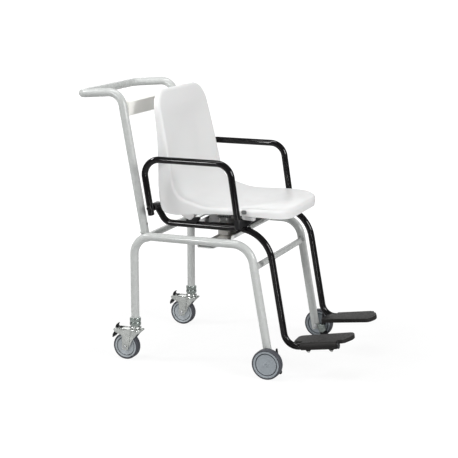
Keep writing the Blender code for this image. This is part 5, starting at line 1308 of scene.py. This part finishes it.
for label, side in SIDES:
    for where, x_end, line, radius, offset in SEAMS:
        ring = ring_on_tube(x_end, line, radius, offset, side)
        dress(bead(f"weld_{where}_bar_{label}", ring, SEAM_R, True), "grey_weld")
    for where, rise in (("high", RAIL_SEAM_RISE), ("low", -RAIL_SEAM_RISE)):
        z = RAIL_Z + rise
        steps = [RAIL_SEAM_STEP * k for k in range(-3, 4)]
        line = [on_side(side, FRAME_X - FRAME_D / 2, upright_y(z) + step, z) for step in steps]
        dress(bead(f"weld_upright_{where}_{label}", line, RAIL_SEAM_R), "grey_weld")
print("welds made")

# %% [markdown]
# ## Studio
# The chair stands on a plain pale floor in front of white. For the camera the floor is
# mostly self-lit, which keeps it near white and still lets a faint shadow show. The light
# on the chair comes from six lamps and a dim pale room. Most lamps are small, because a
# round tube shows each as a fine line along its length.

# %% Floor and room
SELF_LIT = 0.8
# The glow's strength near the chair and far from it, and the two distances
GLOW = (1.11, 1.36)
GLOW_REACH = (0.6, 2.2)
FLOOR_SIZE = 60.0
ROOM_LIGHT = 0.24
WHITE = (1, 1, 1, 1)


def pale_floor():
    finish = new_finish("pale_floor", (0.52, 0.52, 0.52), 0.7)
    tree = finish.node_tree
    paths = tree.nodes.new("ShaderNodeLightPath")
    glow = add_node(tree, "ShaderNodeEmission", Color=WHITE)
    place = tree.nodes.new("ShaderNodeTexCoord")
    reach = tree.nodes.new("ShaderNodeVectorMath")
    reach.operation = "LENGTH"
    wire(place.outputs["Object"], reach.inputs[0])
    wire(spread(tree, reach.outputs["Value"], *GLOW, *GLOW_REACH), glow.inputs["Strength"])
    part = tree.nodes.new("ShaderNodeMath")
    part.operation = "MULTIPLY"
    part.inputs[1].default_value = SELF_LIT
    wire(paths.outputs["Is Camera Ray"], part.inputs[0])
    show(tree, part.outputs[0], shader_of(finish), glow, "Material Output")
    return finish


fresh()
bpy.ops.mesh.primitive_plane_add(size=FLOOR_SIZE, location=(0, 0, 0))
floor = bpy.context.object
floor.name = "studio_floor"
floor.data.materials.append(pale_floor())

world = bpy.data.worlds.new("pale_room")
bpy.context.scene.world = world
world.use_nodes = True
tree = world.node_tree
room = tree.nodes["Background"]
set_sockets(room, Color=WHITE, Strength=ROOM_LIGHT)
white = add_node(tree, "ShaderNodeBackground", Color=WHITE, Strength=1.0)
paths = tree.nodes.new("ShaderNodeLightPath")
show(tree, paths.outputs["Is Camera Ray"], room, white, "World Output")

# %% Lamps
def aim(piece, place, look):
    piece.location = place
    piece.rotation_euler = Vector(look).to_track_quat("-Z", "Y").to_euler()


def area_lamp(name, place, target, size, power):
    data = bpy.data.lights.new(name, "AREA")
    data.shape = "RECTANGLE"
    data.size, data.size_y = size
    data.energy = power
    aim(new_object(name, data), place, Vector(target) - Vector(place))


# Name, place, target, size in two directions and power in watts
LAMPS = (
    ("key_lamp", (-0.9, -3.0, 1.9), (0, 0, 0.55), (1.2, 1.2), 72),
    ("side_lamp", (-3.0, 1.25, 1.3), (0, 0, 0.6), (0.3, 0.4), 19),
    ("rear_lamp", (-1.0, 2.1, 2.4), (0, 0.2, 0.8), (0.4, 0.4), 42),
    ("low_lamp", (-1.6, -1.25, 0.3), (0, -0.3, 0.3), (0.07, 0.5), 3.4),
    ("top_lamp", (-0.5, 0.3, 3.2), (0, 0, 0.4), (0.45, 2.6), 34),
    ("back_glow", (3.0, 1.5, 1.5), (0, 0, 0.7), (3.0, 1.6), 20),
)
for lamp in LAMPS:
    area_lamp(*lamp)

# %% [markdown]
# ## Camera
# The photograph looks from the chair's right, 68 degrees round from the front and 12 degrees
# up, from nearly five metres away with a long lens.

# %% Camera
CAMERA_AT = (-4.2326, -1.7246, 1.4018)
CAMERA_LOOK = (0.905, 0.3712, -0.2079)
LENS_MM = 106.55
SENSOR_MM = 36.0
FARTHEST = 100.0
lens = bpy.data.cameras.new("studio_camera")
lens.lens = LENS_MM
lens.sensor_width = SENSOR_MM
lens.clip_end = FARTHEST
camera = new_object("studio_camera", lens)
aim(camera, CAMERA_AT, CAMERA_LOOK)
bpy.context.scene.camera = camera
bpy.context.scene.view_settings.view_transform = "Standard"
